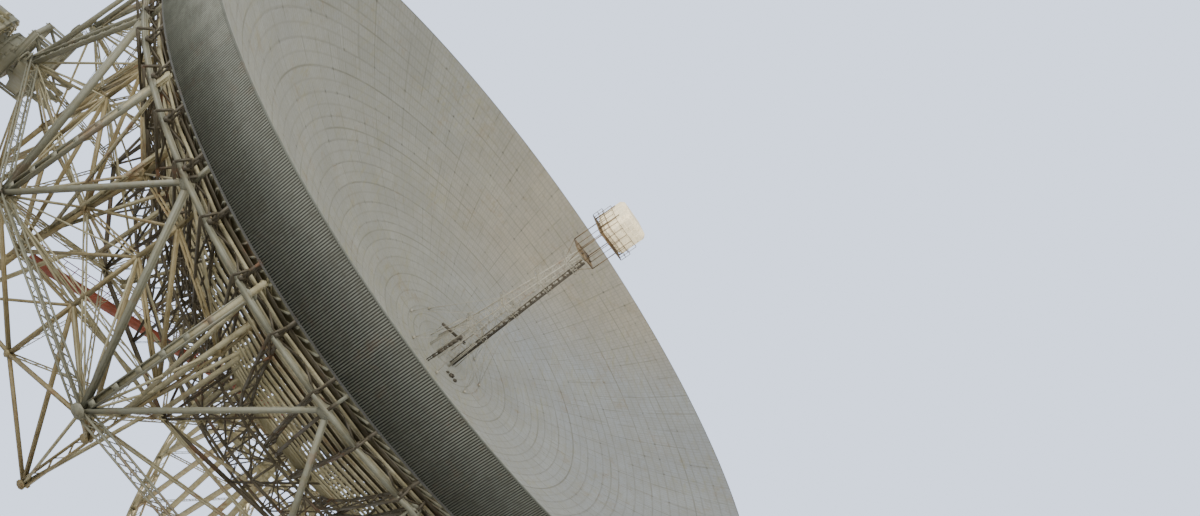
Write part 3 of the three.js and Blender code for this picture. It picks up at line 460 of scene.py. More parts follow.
# %% Cladding and back skin
PANELS = 72
RIDGES_PER_PANEL = 23
RIDGES_PER_SHEET = 7.0
RIDGE_COUNT = PANELS * RIDGES_PER_PANEL
fascia_finish, made, shader, coordinates = new_finish("fascia_cladding")
place = bowl_place(made, coordinates)
ridge_phase = made.math("MULTIPLY", place["Turn"], float(RIDGE_COUNT))
valley_shade = made.ramp(made.math("PINGPONG", ridge_phase, 0.5), 0.34, 0.16)
sheet_number = made.math("FLOOR", made.math("DIVIDE", ridge_phase, RIDGES_PER_SHEET))
tint = made.add("ShaderNodeTexWhiteNoise", {"W": sheet_number}, noise_dimensions="1D").outputs["Value"]
base = made.mix(tint, (0.155, 0.165, 0.135, 1), (0.19, 0.20, 0.165, 1))
# Painted shade: the valleys between the ridges are darkened nearly to black, where shade falls in the
# creases.
base = made.cover(valley_shade, 0.97, base, (0.008, 0.009, 0.006))
outputs = weathered(made, coordinates, paint=base, stain=(0.055, 0.052, 0.035, 1),
                    rust=(0.14, 0.07, 0.03, 1), staining=0.5, rusting=0.2)
surface(made, shader, outputs, 0.2, 0.001)

skin_finish, made, shader, coordinates = new_finish("back_skin_sheets")
place = bowl_place(made, coordinates)
tint, near_weld = sheet_pattern(made, place)
base = made.mix(tint, (0.24, 0.235, 0.165, 1), (0.31, 0.30, 0.21, 1))
lined = made.cover(near_weld, 0.5, base, (0.09, 0.07, 0.04))
outputs = weathered(made, coordinates, paint=lined, stain=(*OLIVE, 1), rust=(*RUST, 1),
                    staining=0.5, rusting=0.7)
surface(made, shader, outputs, 0.3, 0.002)
print("sheet finishes made")

# %% [markdown]
# Surfaces of revolution
# The reflector, the skin behind it and the rings are all round, so each is a profile in the plane of
# x and z that the spin operator carries once round the bowl's z axis. The doubled seam is merged, the
# normals are made to agree, and the bowl's matrix takes the mesh to its place. A shell's profile goes
# out along its front and back along its rear, so it has its wall at once.

# %% Spin a profile round the bowl

def settle(thing, name, material, body="bowl", smooth=None):
    """Gives a new mesh its name, finish and body, with its place in its vertices."""
    matrix = BOWL if body == "bowl" else Matrix.Identity(4)
    thing.data.transform(matrix @ thing.matrix_world)
    thing.matrix_world = Matrix.Identity(4)
    thing.name = thing.data.name = name
    thing.data.materials.clear()
    thing.data.materials.append(material)
    if smooth is not None:
        select_only(thing)
        bpy.ops.object.shade_smooth_by_angle(angle=math.radians(smooth))
    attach(thing, body)
    return thing

def select_only(thing):
    bpy.ops.object.select_all(action="DESELECT")
    thing.select_set(True)
    bpy.context.view_layer.objects.active = thing

def spun(profile, steps=180):
    """A closed profile of (radius, z) points, spun round z into a mesh object."""
    mesh = bpy.data.meshes.new("spun")
    edges = [(i, i + 1) for i in range(len(profile) - 1)] + [(len(profile) - 1, 0)]
    mesh.from_pydata([(r, 0, z) for r, z in profile], edges, [])
    thing = bpy.data.objects.new("spun", mesh)
    bpy.context.scene.collection.objects.link(thing)
    select_only(thing)
    bpy.ops.object.mode_set(mode="EDIT")
    bpy.ops.mesh.select_all(action="SELECT")
    bpy.ops.mesh.spin(steps=steps, angle=2 * math.pi, center=(0, 0, 0), axis=(0, 0, 1))
    bpy.ops.mesh.select_all(action="SELECT")
    bpy.ops.mesh.remove_doubles(threshold=1e-5)
    bpy.ops.mesh.normals_make_consistent(inside=False)
    bpy.ops.object.mode_set(mode="OBJECT")
    return thing

def thicken(thing, thickness):
    """Gives a sheet a wall of the given thickness, half on each side."""
    select_only(thing)
    wall = thing.modifiers.new("wall", "SOLIDIFY")
    wall.thickness = thickness
    wall.offset = 0
    bpy.ops.object.modifier_apply(modifier=wall.name)

def paraboloid(radius, rim_radius, rim_z, focus):
    return rim_z - (rim_radius ** 2 - radius ** 2) / (4 * focus)

print("profiles can be spun, given a wall and put in place")

# %% Reflector
EDGE_RADIUS = RIM_RADIUS - 0.0105
DISH_FOCUS = 2.29
DISH_RIM = RIM_Z - 0.004
DISH_EYE = 0.19
DISH_LIFT = 0.50
SHELL = 0.01

def dish_z(radius):
    return paraboloid(radius, EDGE_RADIUS, DISH_RIM, DISH_FOCUS)

def shell_profile(inner, outer, height, rows):
    """Both faces of a thin shell, out along the front and back along the rear."""
    radii = [inner + (outer - inner) * i / rows for i in range(rows + 1)]
    front = [(r, height(r)) for r in radii]
    rear = [(r, height(r) - SHELL) for r in reversed(radii)]
    return front + rear

QUARTERS = ("upper_right", "upper_left", "lower_left", "lower_right")
reflector = spun(shell_profile(DISH_EYE, EDGE_RADIUS, dish_z, 36))
settle(reflector, "reflector", dish_finish, "bowl", smooth=35)
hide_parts(*[f"dish_surface_{quarter}" for quarter in QUARTERS])
print("reflector", len(reflector.data.polygons), "faces")

# %% Back skin
SKIN_FOCUS = 1.905
SKIN_EDGE = SKIN_Z + SHELL
SKIN_EYE = 0.36

def skin_z(radius):
    return paraboloid(radius, EDGE_RADIUS, SKIN_EDGE, SKIN_FOCUS)

back_skin = spun(shell_profile(SKIN_EYE, EDGE_RADIUS, skin_z, 30))
settle(back_skin, "back_skin", skin_finish, "bowl", smooth=35)
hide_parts(*[f"back_skin_{quarter}" for quarter in QUARTERS])
print("back skin", len(back_skin.data.polygons), "faces")

# %% [markdown]
# Unit pieces
# Nearly everything behind the bowl is a straight member: a box with flanges, two channels joined by
# batten plates, or four angles joined by lacing. Modelling each by hand would take years, and an
# array gives only straight rows of one size. So one bay of each kind is modelled in a unit box, with
# x and y from -0.5 to 0.5 and z from 0 to 1, and each bay of each member is a copy of it, stretched
# between its two ends. A built-up member is a list of two units: its chords, which run the whole
# length, and its lacing, which comes back in each bay. The copies are joined, so a whole truss is one
# mesh.

# %% Model the unit pieces

def unit_piece(boxes):
    """Boxes of (size, centre, turn about x, turn about y) in one mesh, returned as arrays."""
    bpy.ops.object.select_all(action="DESELECT")
    for number, (size, centre, turn_x, turn_y) in enumerate(boxes):
        rotation = (turn_x, turn_y, 0)
        bpy.ops.mesh.primitive_cube_add(size=1, location=centre, rotation=rotation, scale=size)
        if number == 0:
            thing = bpy.context.active_object
            bpy.ops.object.mode_set(mode="EDIT")
    bpy.ops.object.mode_set(mode="OBJECT")
    thing.data.transform(thing.matrix_world)
    return harvest(thing)

def harvest(thing):
    """The points and faces of a modelled unit, which then leaves the scene."""
    mesh = thing.data
    points = np.array([v.co for v in mesh.vertices], float)
    loops = np.array([v for polygon in mesh.polygons for v in polygon.vertices])
    sizes = np.array([len(polygon.vertices) for polygon in mesh.polygons])
    bpy.data.objects.remove(thing)
    return points, loops, sizes

def slanted(start, end, thickness, depth):
    """A thin box from one point of the x-z plane or the y-z plane to another, at x or y depth."""
    run = Vector(end) - Vector(start)
    middle = (Vector(start) + Vector(end)) / 2
    turn_y = math.atan2(run.x, run.z)
    turn_x = -math.atan2(run.y, run.z)
    return ((thickness, depth, run.length) if run.y == 0 else (depth, thickness, run.length),
            middle, turn_x, turn_y)

def upright(x, y, width, depth, low=0.0, high=1.0):
    return ((width, depth, high - low), (x, y, (low + high) / 2), 0, 0)

print("boxes can be joined to a unit piece")

# %% Bars, columns, channels and tubes
CHORD = 0.17
BAR = unit_piece([upright(0, 0, 1, 1)])
FLANGED = unit_piece([
    upright(0, -0.43, 1, 0.14), upright(0, 0.43, 1, 0.14), upright(-0.36, 0, 0.12, 0.72),
    upright(0.36, 0, 0.12, 0.72),
])
corner = 0.5 - CHORD / 2
lacing = [slanted((-corner, y, 0.02), (corner, y, 0.98), 0.09, 0.05) for y in (-corner, corner)]
lacing += [slanted((x, -corner, 0.98), (x, corner, 0.02), 0.09, 0.05) for x in (-corner, corner)]
LACED = [
    unit_piece([upright(x, y, CHORD, CHORD) for x in (-corner, corner) for y in (-corner, corner)]),
    unit_piece(lacing),
]
CHANNELS = unit_piece([upright(-0.42, 0, 0.16, 1), upright(0.42, 0, 0.16, 1)])
BATTENED = [CHANNELS, unit_piece([upright(0, y, 0.8, 0.07, 0.38, 0.62) for y in (-0.44, 0.44)])]
PAIR = [CHANNELS, unit_piece([
    slanted((-0.4, 0, 0.04), (0.4, 0, 0.5), 0.06, 0.3),
    slanted((0.4, 0, 0.5), (-0.4, 0, 0.96), 0.06, 0.3),
])]
LADDER = [CHANNELS, unit_piece([((0.8, 0.6, 0.10), (0, 0, 0.5), 0, 0)])]

def unit_tube(sides, radius=0.5):
    bpy.ops.object.select_all(action="DESELECT")
    bpy.ops.mesh.primitive_cylinder_add(vertices=sides, radius=radius, depth=1, location=(0, 0, 0.5))
    thing = bpy.context.active_object
    thing.data.transform(thing.matrix_world)
    return harvest(thing)

TUBE = unit_tube(10)
ROUND = unit_tube(24)
BOLT = unit_tube(6, 0.55)
print("unit pieces:", {"bar": len(BAR[2]), "laced": [len(unit[2]) for unit in LACED]})

# %% Copy and join unit pieces

class Works:
    """Copies of unit pieces, each kept by its ends, joined at last as one mesh."""

    def __init__(self):
        self.copies = {}

    def put(self, unit, ends):
        """ends holds start and end centres, then the x and y reach at the start and at the end."""
        self.copies.setdefault(id(unit), (unit, []))[1].append([tuple(v) for v in ends])

    def member(self, unit, start, end, width, depth=None, bay=None, side=UP, turn=False):
        """A straight member, its y side facing the side direction; a built-up one has whole bays."""
        if isinstance(unit, list):
            chords, unit = unit
            self.member(chords, start, end, width, depth, side=side)
        start, end = Vector(start), Vector(end)
        run = end - start
        bays = max(1, round(run.length / bay)) if bay and unit is not BAR else 1
        x_way = Vector(side).cross(run)
        if x_way.length < 1e-4 * run.length:
            x_way = Vector((1, 0, 0.1)).cross(run)
        x_reach = x_way.normalized() * width
        y_reach = run.cross(x_way).normalized() * (depth or width)
        for i in range(bays):
            low, high, reach = i / bays, (i + 1) / bays, x_reach
            if turn and i % 2:
                low, high, reach = high, low, -x_reach
            self.put(unit, (start + run * low, start + run * high, reach, reach, y_reach, y_reach))

    def mesh_object(self, name):
        points, loops, sizes, offset = [], [], [], 0
        for (unit_points, unit_loops, unit_sizes), ends in self.copies.values():
            rows = np.array(ends)[:, :, None, :]
            x, y, z = (unit_points[:, k][None, :, None] for k in range(3))
            low = rows[:, 0] + x * rows[:, 2] + y * rows[:, 4]
            high = rows[:, 1] + x * rows[:, 3] + y * rows[:, 5]
            placed = low * (1 - z) + high * z
            count, each = placed.shape[:2]
            points.append(placed.reshape(-1, 3))
            shift = offset + np.arange(count)[:, None] * each
            loops.append((unit_loops[None, :] + shift).ravel())
            sizes.append(np.tile(unit_sizes, count))
            offset += count * each
        points, loops, sizes = np.concatenate(points), np.concatenate(loops), np.concatenate(sizes)
        mesh = bpy.data.meshes.new(name)
        mesh.vertices.add(len(points))
        mesh.vertices.foreach_set("co", points.astype(np.float32).ravel())
        mesh.loops.add(len(loops))
        mesh.loops.foreach_set("vertex_index", loops.astype(np.int32))
        mesh.polygons.add(len(sizes))
        loop_starts = np.concatenate([[0], np.cumsum(sizes)[:-1]])
        mesh.polygons.foreach_set("loop_start", loop_starts.astype(np.int32))
        mesh.update(calc_edges=True)
        mesh.validate()
        thing = bpy.data.objects.new(name, mesh)
        bpy.context.scene.collection.objects.link(thing)
        return thing

    def build(self, name, material, body="bowl", slot="steel_paint"):
        made = settle(self.mesh_object(name), name, material, body)
        print(name, sum(len(p.vertices) - 2 for p in made.data.polygons), "triangles")
        return made

print("members can be placed and joined to one mesh")

# %% [markdown]
# Corrugated cladding
# The deep band behind the rim is clad in corrugated sheet whose ridges run along the aim, one every
# fifteen centimetres, more than sixteen hundred in all. They show as fine even lines that a bump map
# would lose on the outline, so they are real: one ridge is modelled by moving rows of a subdivided
# plane, and its copies go round the rim. The doubled edges are merged, and a Solidify modifier gives
# the sheet its wall.

# %% One ridge, and its copies round the rim
RIDGE_DEPTH = 0.007
CLADDING_WALL = 0.0008

def unit_ridge():
    bpy.ops.object.select_all(action="DESELECT")
    bpy.ops.mesh.primitive_grid_add(x_subdivisions=4, y_subdivisions=1, size=1)
    thing = bpy.context.active_object
    heights = {-2: 0.0, -1: 0.5, 0: 1.0, 1: 0.5, 2: 0.0}
    spread = {-2: -0.5, -1: -0.23, 0: 0.0, 1: 0.23, 2: 0.5}
    for vertex in thing.data.vertices:
        x, y, _ = vertex.co
        step = round(x * 4)
        vertex.co = (spread[step], heights[step], y + 0.5)
    return harvest(thing)

RIDGE = unit_ridge()
cladding = Works()
crest = RIM_RADIUS * math.cos(math.radians(1.0)) + 0.0002
valley = crest - RIDGE_DEPTH
CLADDING_TOP = RIM_Z - 0.004
for number in range(RIDGE_COUNT):
    turn = 360 * (number + 0.5) / RIDGE_COUNT
    outward = polar(1, turn)
    tangent = polar(1, turn + 90)
    pitch = 2 * valley * math.tan(math.pi / RIDGE_COUNT)
    ends = (polar(valley, turn, SKIN_Z + 0.004), polar(valley, turn, CLADDING_TOP))
    across, height = tangent * pitch, outward * RIDGE_DEPTH
    cladding.put(RIDGE, (*ends, across, across, height, height))
sheet = cladding.mesh_object("cladding")
select_only(sheet)
bpy.ops.object.mode_set(mode="EDIT")
bpy.ops.mesh.select_all(action="SELECT")
bpy.ops.mesh.remove_doubles(threshold=1e-4)
bpy.ops.mesh.normals_make_consistent(inside=False)
bpy.ops.object.mode_set(mode="OBJECT")
thicken(sheet, CLADDING_WALL)
settle(sheet, "cladding", fascia_finish, "bowl")
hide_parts("rim_fascia_left", "rim_fascia_right")
print("cladding ridges", RIDGE_COUNT, "faces", len(sheet.data.polygons))

# %% Rim capping and the angle at the cladding's foot
cap_profile = [
    (RIM_RADIUS - 0.014, RIM_Z - 0.004), (RIM_RADIUS - 0.003, RIM_Z - 0.004),
    (RIM_RADIUS - 0.0006, RIM_Z - 0.008), (RIM_RADIUS - 0.0004, RIM_Z - 0.002),
    (RIM_RADIUS - 0.003, RIM_Z - 0.0004), (RIM_RADIUS - 0.012, RIM_Z - 0.0004),
]
rim_cap = spun(cap_profile)
rim_finish = paint("rim_paint", (0.10, 0.105, 0.085), (0.05, 0.05, 0.035), RUST, 0.4, 0.2)
settle(rim_cap, "rim_cap", rim_finish, "bowl", smooth=30)
foot_profile = [
    (RIM_RADIUS - 0.016, SKIN_Z), (RIM_RADIUS - 0.0006, SKIN_Z),
    (RIM_RADIUS - 0.0006, SKIN_Z + 0.012), (RIM_RADIUS - 0.003, SKIN_Z + 0.012),
    (RIM_RADIUS - 0.003, SKIN_Z + 0.003), (RIM_RADIUS - 0.016, SKIN_Z + 0.003),
]
# The angle is dark steel as painted shade: it stands for the shadow along the rear edge of the cladding.
shade_foot_angle = spun(foot_profile)
settle(shade_foot_angle, "cladding_foot_shade_angle", dark_steel, "bowl")
print("rim trimmed")

# %% [markdown]
# Welds of the reflector
# Each ring of sheets ends in a weld bead, and so does each sheet. They are only a finger high on the
# real bowl, but they draw the fine net of lines that gives the great surface its scale. Each is a low
# ridge of three edges that follows the paraboloid, copied from one unit.

# %% Weld beads
BEAD_WIDTH = 0.004
BEAD_HEIGHT = 0.0010

def unit_bead():
    """A three-sided bar, stretched to fill the unit box from its flat side up."""
    points, loops, sizes = unit_tube(3)
    low, high = points.min(0), points.max(0)
    points[:, 0] = (points[:, 0] - low[0]) / (high[0] - low[0]) - 0.5
    points[:, 1] = (points[:, 1] - low[1]) / (high[1] - low[1])
    return points, loops, sizes

BEAD = unit_bead()
beads = Works()

def bead(start, end):
    inward = Vector((-(start.x + end.x) / 2, -(start.y + end.y) / 2, 2 * DISH_FOCUS)).normalized()
    run = end - start
    across = inward.cross(run).normalized() * BEAD_WIDTH
    sink = inward * 0.0004
    beads.put(BEAD, (start - sink, end - sink, across, across, inward * BEAD_HEIGHT, inward * BEAD_HEIGHT))

ring_rows = int(EDGE_RADIUS / SHEET_RING)
for row in range(2, ring_rows + 1):
    radius = row * SHEET_RING
    steps = max(24, int(2 * math.pi * radius / 0.16))
    corners = [polar(radius, 360 * i / steps, dish_z(radius)) for i in range(steps)]
    for i in range(steps):
        bead(corners[i], corners[(i + 1) % steps])
    outer = min(radius + SHEET_RING, EDGE_RADIUS - 0.002)
    per_turn = math.floor((row + 0.5) * SHEET_RING * 2 * math.pi / SHEET_LENGTH)
    stagger = 0.5 * (row % 2)
    for i in range(per_turn):
        turn = 360 * (i + stagger) / per_turn - 180
        bead(polar(radius, turn, dish_z(radius)), polar(outer, turn, dish_z(outer)))
weld_finish = paint("weld_beads", (0.25, 0.25, 0.225), (0.2, 0.17, 0.1), RUST, 0.4, 0.5)
beads.build("reflector_welds", weld_finish, slot="dish_panels")

# %% [markdown]
# The ring girder and its zigzag
# A box girder runs round behind the cladding, in seventy-two straight lengths, and a wider ring of
# columns lies eleven real metres behind it. Great struts zigzag between the two. In the frame each
# of these is a plain bar. Here the girder and most struts become flanged boxes with gusset plates at
# the joints, the struts beside the trunnions become laced pairs of channels, and the back ring
# becomes four-angle laced columns.

# %% Nodes of the drum
FRONT = {"radius": 3.81, "z": 1.5, "width": 0.023}
BACK = {"radius": 3.95, "z": 0.41, "width": 0.053}
STRUT = 0.027
TRUNNION_BAY = 15.0
HALF_BAYS = 8
HALF_BAY = (180 - TRUNNION_BAY) / 2 / HALF_BAYS
PANEL_TURNS = [5 * panel + 2.5 for panel in range(PANELS)]

quarter_turns = [TRUNNION_BAY / 2 + i * HALF_BAY for i in range(HALF_BAYS + 1)]
back_turns, front_turns = [], []
for i, turn in enumerate(quarter_turns):
    mirrored = {turn, 180 - turn, 180 + turn, 360 - turn}
    (front_turns if i % 2 else back_turns).extend(mirrored)
back_turns = sorted(set(round(turn, 4) for turn in back_turns))
front_turns = sorted(set(round(turn, 4) for turn in front_turns))
print(len(back_turns), "nodes on the back ring,", len(front_turns), "on the front ring")

def front_node(turn, lift=0.0):
    return polar(FRONT["radius"] - 0.02, turn, FRONT["z"] + lift)

def back_node(turn, lift=0.0):
    return polar(BACK["radius"] - 0.02, turn, BACK["z"] + lift)

# %% A gusset plate with its bolts
PLATE_SIDES = 8
PLATE = 0.005

def unit_gusset():
    """A plate with clipped corners, flat in x and y, with a ring of square bolt heads."""
    bpy.ops.object.select_all(action="DESELECT")
    turn = math.pi / PLATE_SIDES
    bpy.ops.mesh.primitive_cylinder_add(vertices=PLATE_SIDES, radius=0.54, depth=1, location=(0, 0, 0.5),
                                        rotation=(0, 0, turn))
    thing = bpy.context.active_object
    bpy.ops.object.mode_set(mode="EDIT")
    for i in range(PLATE_SIDES):
        angle = 2 * math.pi * i / PLATE_SIDES
        place = (0.36 * math.cos(angle), 0.36 * math.sin(angle), 0.5)
        bpy.ops.mesh.primitive_cylinder_add(vertices=4, radius=0.032, depth=2.2, location=place)
    bpy.ops.object.mode_set(mode="OBJECT")
    thing.data.transform(thing.matrix_world)
    return harvest(thing)

GUSSET = unit_gusset()
print("gusset plate has", len(GUSSET[2]), "faces")

def gusset(works, centre, normal, width, height=None, thickness=0.06):
    """A bolted plate on each face of a node that is as thick as given."""
    normal = Vector(normal).normalized()
    x_way = Vector(UP).cross(normal)
    if x_way.length < 1e-3:
        x_way = Vector((1, 0, 0)).cross(normal)
    x_way.normalize()
    y_way = normal.cross(x_way)
    height = height or width
    reach = (x_way * width, x_way * width, y_way * height, y_way * height)
    for face in (-1, 1):
        inside = Vector(centre) + normal * face * thickness / 2
        works.put(GUSSET, (inside, inside + normal * face * PLATE, *reach))

# %% Ring girder
works = Works()
box = FRONT["width"]
for turn in PANEL_TURNS:
    first, last = (polar(FRONT["radius"], turn + step, FRONT["z"]) for step in (0, 5))
    outward = polar(1, turn + 2.5)
    works.member(FLANGED, first, last, box, box * 0.96, side=outward)
    collar = first - outward * 0.002, first + (last - first) * 0.004
    works.member(BAR, *collar, box * 1.12, side=outward)
works.build("ring_girder", bright_steel)

# %% Zigzag struts, back ring columns and gussets
BESIDE_TRUNNIONS = (back_turns[0] + HALF_BAY, 180 - back_turns[0] - HALF_BAY)
for quarter, start in zip(QUARTERS, (0, 90, 180, 270)):
    works = Works()
    for turn in [turn for turn in front_turns if start <= turn < start + 90]:
        unit, width, bay = FLANGED, STRUT, None
        if min(abs(turn % 180 - other) for other in BESIDE_TRUNNIONS) < 1:
            unit, width, bay = PAIR, 2 * STRUT, 0.12
        for neighbour in (turn - HALF_BAY, turn + HALF_BAY):
            works.member(unit, front_node(turn), back_node(neighbour), width, STRUT, bay=bay,
                         side=polar(1, turn))
        gusset(works, front_node(turn, -0.02), polar(1, turn), 0.075, 0.06, STRUT)
        head, foot = (polar(3.774, turn, z) for z in (FRONT["z"], SKIN_Z - 0.02))
        works.member(FLANGED, head, foot, 0.02, side=polar(1, turn))
    for turn in [turn for turn in back_turns if start <= turn < start + 90]:
        step = TRUNNION_BAY if abs(turn % 180 - back_turns[-1] % 180) < 0.1 else 2 * HALF_BAY
        works.member(LACED, back_node(turn), back_node(turn + step), 0.05, 0.05, bay=0.06,
                     side=polar(1, turn + step / 2), turn=True)
        gusset(works, back_node(turn, 0.01), polar(1, turn), 0.085, 0.075, BACK["width"])
        ringside = polar(FRONT["radius"] - 0.02, turn, FRONT["z"])
        works.member(BATTENED, back_node(turn), ringside, 0.045, 0.022, bay=0.16, side=polar(1, turn))
        gusset(works, ringside, polar(1, turn), 0.07, 0.05, STRUT)
    made = works.build(f"drum_lattice_{quarter}", bright_steel)
    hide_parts(f"drum_truss_{quarter}")

# %% [markdown]
# Purlins and bearers
# The thin skin would buckle without the rings of flat steel that it is welded to, one every sixty
# real centimetres, and these purlins in turn sit on radial bearers of angle iron. Slanting slats hold
# the outer edge. Every ring is a chain of straight lengths, as the fitters would lay it.

# %% Purlins on the rear of the skin
PURLIN_STEP = 0.06
FIRST_PURLIN, PURLIN_REACH = 8, 3.52
PURLIN = {"width": 0.011, "depth": 0.016}

def behind_skin(radius, turn, off=0.0):
    """A point that stands off the rear face of the skin."""
    slope = radius / (2 * SKIN_FOCUS)
    steep = math.hypot(slope, 1)
    return polar(radius + off * slope / steep, turn, skin_z(radius) - SHELL - off / steep)

def off_skin(radius, turn):
    """The way straight out of the rear of the skin."""
    return behind_skin(radius, turn, 1) - behind_skin(radius, turn)

ANGLE = unit_piece([upright(-0.4, 0, 0.2, 1), upright(0, 0.45, 1, 0.1)])
works = Works()
for row in range(FIRST_PURLIN, int(PURLIN_REACH / PURLIN_STEP) + 1):
    radius = row * PURLIN_STEP
    lengths = PANELS if radius > 1.5 else PANELS // 2
    for panel in range(lengths):
        low, high = (360 * (panel + share) / lengths + 2.5 for share in (0.02, 0.98))
        first, last = (behind_skin(radius, turn, PURLIN["depth"] / 2) for turn in (low, high))
        outward = off_skin(radius, (low + high) / 2)
        works.member(BAR, first, last, PURLIN["width"], PURLIN["depth"], side=outward)
slats = 4 * PANELS
for i in range(slats):
    turn = 360 * i / slats
    low, high = behind_skin(3.54, turn, 0.006), behind_skin(3.775, turn + 2.9, 0.006)
    works.member(BAR, low, high, 0.010, 0.012, side=high - behind_skin(3.775, turn + 2.9, 0.1))
works.build("skin_purlins", bright_steel)

# %% Radial bearers over the purlins
BEARER_RADII = (3.78, 3.15, 2.5, 1.85, 1.2)
works = Works()
for turn in PANEL_TURNS:
    places = [behind_skin(radius, turn, PURLIN["depth"] + 0.004) for radius in BEARER_RADII]
    for start, end in zip(places, places[1:]):
        works.member(ANGLE, start, end, 0.012, 0.016, side=off_skin(2, turn))
# The bearers are near black as painted shade under the skin.
works.build("skin_bearers", shade_dark_steel)

# %% [markdown]
# Ribs
# Fourteen deep trusses run like the sticks of an umbrella from the hub to the drum. Seen close up,
# neither their chords nor their braces are solid: chords are four angles with lacing, and braces are
# two channels with a zigzag between. The frame gives the ribs' outline, from which all nodes follow.
# Between them stand lighter radial trusses, near black as painted shade for the shadow under the skin,
# which carry the bearers and close rows of rails, the pale stripes that show below the ring girder. Dark
# boards behind the rails are painted shade for the gaps between them.

# %% The outline of a rib, from the frame
rib_section = bowl_points("rib_4")
rib_radius = np.hypot(rib_section[:, 0], rib_section[:, 1])
RIB_INNER = float(rib_radius.min())
RIB_LOW = float(rib_section[:, 2].min())
RIB_TIP = float(rib_radius[rib_section[:, 2].argmax()])
RIB_FOOT_OUT = float(rib_radius.max())
RIB_FOOT_HIGH = float(rib_section[rib_radius.argmax(), 2])
RIB_CHORD, RIB_BRACE = 0.036, 0.016
RIB_PANELS = 12
print("rib from", round(RIB_INNER, 3), "to", round(RIB_FOOT_OUT, 3))
print("its foot at", round(RIB_LOW, 3), round(RIB_FOOT_HIGH, 3))

def rib_top(share, turn):
    return behind_skin(RIB_INNER + (RIB_TIP - RIB_INNER) * share, turn, RIB_CHORD / 2)

def rib_foot(share, turn):
    low = RIB_LOW + RIB_CHORD / 2
    radius = RIB_INNER + (RIB_FOOT_OUT - RIB_INNER) * share
    return polar(radius, turn, low + (RIB_FOOT_HIGH - low) * share)

def truss(works, tops, feet, chord, brace, side, chord_unit, brace_unit, bay, crossed=False, depth=None):
    """A flat truss between two rows of nodes: two chords, posts and diagonals."""
    for row in (tops, feet):
        for first, last in zip(row, row[1:]):
            works.member(chord_unit, first, last, chord, depth or chord, bay=bay, side=side)
    for top, foot in zip(tops, feet):
        works.member(brace_unit, foot, top, brace, (depth or chord) * 0.8, bay=bay, side=side)
    for i in range(len(tops) - 1):
        rising = (feet[i], tops[i + 1])
        falling = (tops[i], feet[i + 1])
        chosen = (rising, falling) if crossed else ((falling, rising)[i % 2],)
        for first, last in chosen:
            works.member(brace_unit, first, last, brace * 0.8, (depth or chord) * 0.6, bay=bay, side=side)

# %% Laced ribs
rib_turns = sorted([turn for turn in back_turns if abs((turn % 180) - 90) > 21 or turn in (90.0, 270.0)])
shares = [i / RIB_PANELS for i in range(RIB_PANELS + 1)]
for number, turn in enumerate(rib_turns):
    works = Works()
    tops, feet = ([row(share, turn) for share in shares] for row in (rib_top, rib_foot))
    truss(works, tops, feet, RIB_CHORD, RIB_BRACE, polar(1, turn + 90), LACED, PAIR, 0.11)
    for share in shares[::3]:
        gusset(works, rib_foot(share, turn), polar(1, turn + 90), 0.055, thickness=RIB_CHORD)
    made = works.build(f"rib_lattice_{number + 1}", steel_paint)
    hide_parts(f"rib_{number + 1}")

# %% Lighter radial trusses between the ribs
light_turns = [turn for turn in back_turns + front_turns if turn not in rib_turns]
works = Works()
HAUNCH = [(3.74, 0.05), (3.3, 0.20), (2.86, 0.32), (2.42, 0.40), (1.9, 0.38), (1.45, 0.30), (1.05, 0.22)]
for turn in light_turns:
    tops = [behind_skin(radius, turn, 0.045) for radius, _ in HAUNCH]
    feet = [behind_skin(radius, turn, 0.045 + depth) for radius, depth in HAUNCH]
    truss(works, tops, feet, 0.018, 0.011, polar(1, turn + 90), LADDER, BAR, 0.12, crossed=True)
works.build("skin_radials", shade_dark_steel)

# %% Rails round the radial trusses
RAIL_STEP = 0.072
RAIL_ROWS = 18
RAIL_LENGTHS = 36
RAIL = {"width": 0.050, "depth": 0.014}
# The boards are dark sheets laid behind the rails as painted shade, so that the gaps between the rails
# read dark.
SHADE_BOARD = {"width": 0.17, "depth": 0.006}
rails, shade_boards = Works(), Works()

def haunch(radius):
    """How far the foot of a light radial truss stands behind the skin."""
    radii, depths = zip(*sorted(HAUNCH))
    return float(np.interp(radius, radii, depths))

for row in range(RAIL_ROWS):
    radius = 3.70 - RAIL_STEP * row
    for panel in range(RAIL_LENGTHS):
        low, high = (360 * (panel + share) / RAIL_LENGTHS + 2.5 for share in (0.003, 0.997))
        outward = off_skin(radius, (low + high) / 2)
        for works, bar, lift in ((rails, RAIL, 0.008), (shade_boards, SHADE_BOARD, 0.030)):
            off = haunch(radius) - lift
            ends = behind_skin(radius, low, off), behind_skin(radius, high, off)
            works.member(BAR, *ends, bar["width"], bar["depth"], side=outward)
rails.build("skin_rails", steel_paint)
shade_boards.build("skin_shade_boards", shade_dark_steel)

# %% Trusses over the rails, and rings at their inner ends, near black as painted shade
TRUSS_RADII = (3.78, 3.5, 3.2, 2.9, 2.6)
SHADE_DARK_RINGS = ((2.55, 0.42, 2.40, 0.72), (2.90, 0.42, 2.75, 0.60), (2.15, 0.42, 2.05, 0.85))
works = Works()
for turn in PANEL_TURNS:
    tops, feet = ([behind_skin(radius, turn, haunch(radius) + off) for radius in TRUSS_RADII]
                  for off in (0.008, 0.085))
    truss(works, tops, feet, 0.013, 0.011, polar(1, turn + 90), BAR, BAR, None, crossed=True)
for outer, low, inner, high in SHADE_DARK_RINGS:
    tops, feet = ([behind_skin(radius, turn, off) for turn in range(0, 361, 5)]
                  for radius, off in ((outer, low), (inner, high)))
    truss(works, tops, feet, 0.014, 0.011, UP, BAR, BAR, None, crossed=True)
works.build("rail_trusses", shade_dark_steel)

# %% [markdown]
# Rings between the ribs
# The ribs would fold sideways without the ring trusses that join them. There are four, at each fifth
# of the ribs' length, each with a chord near the skin and one near the ribs' feet, and braces
# between, crossed in the outer two. At the feet, long diagonals tie one rib to the next, so the whole
# back is one stiff web.

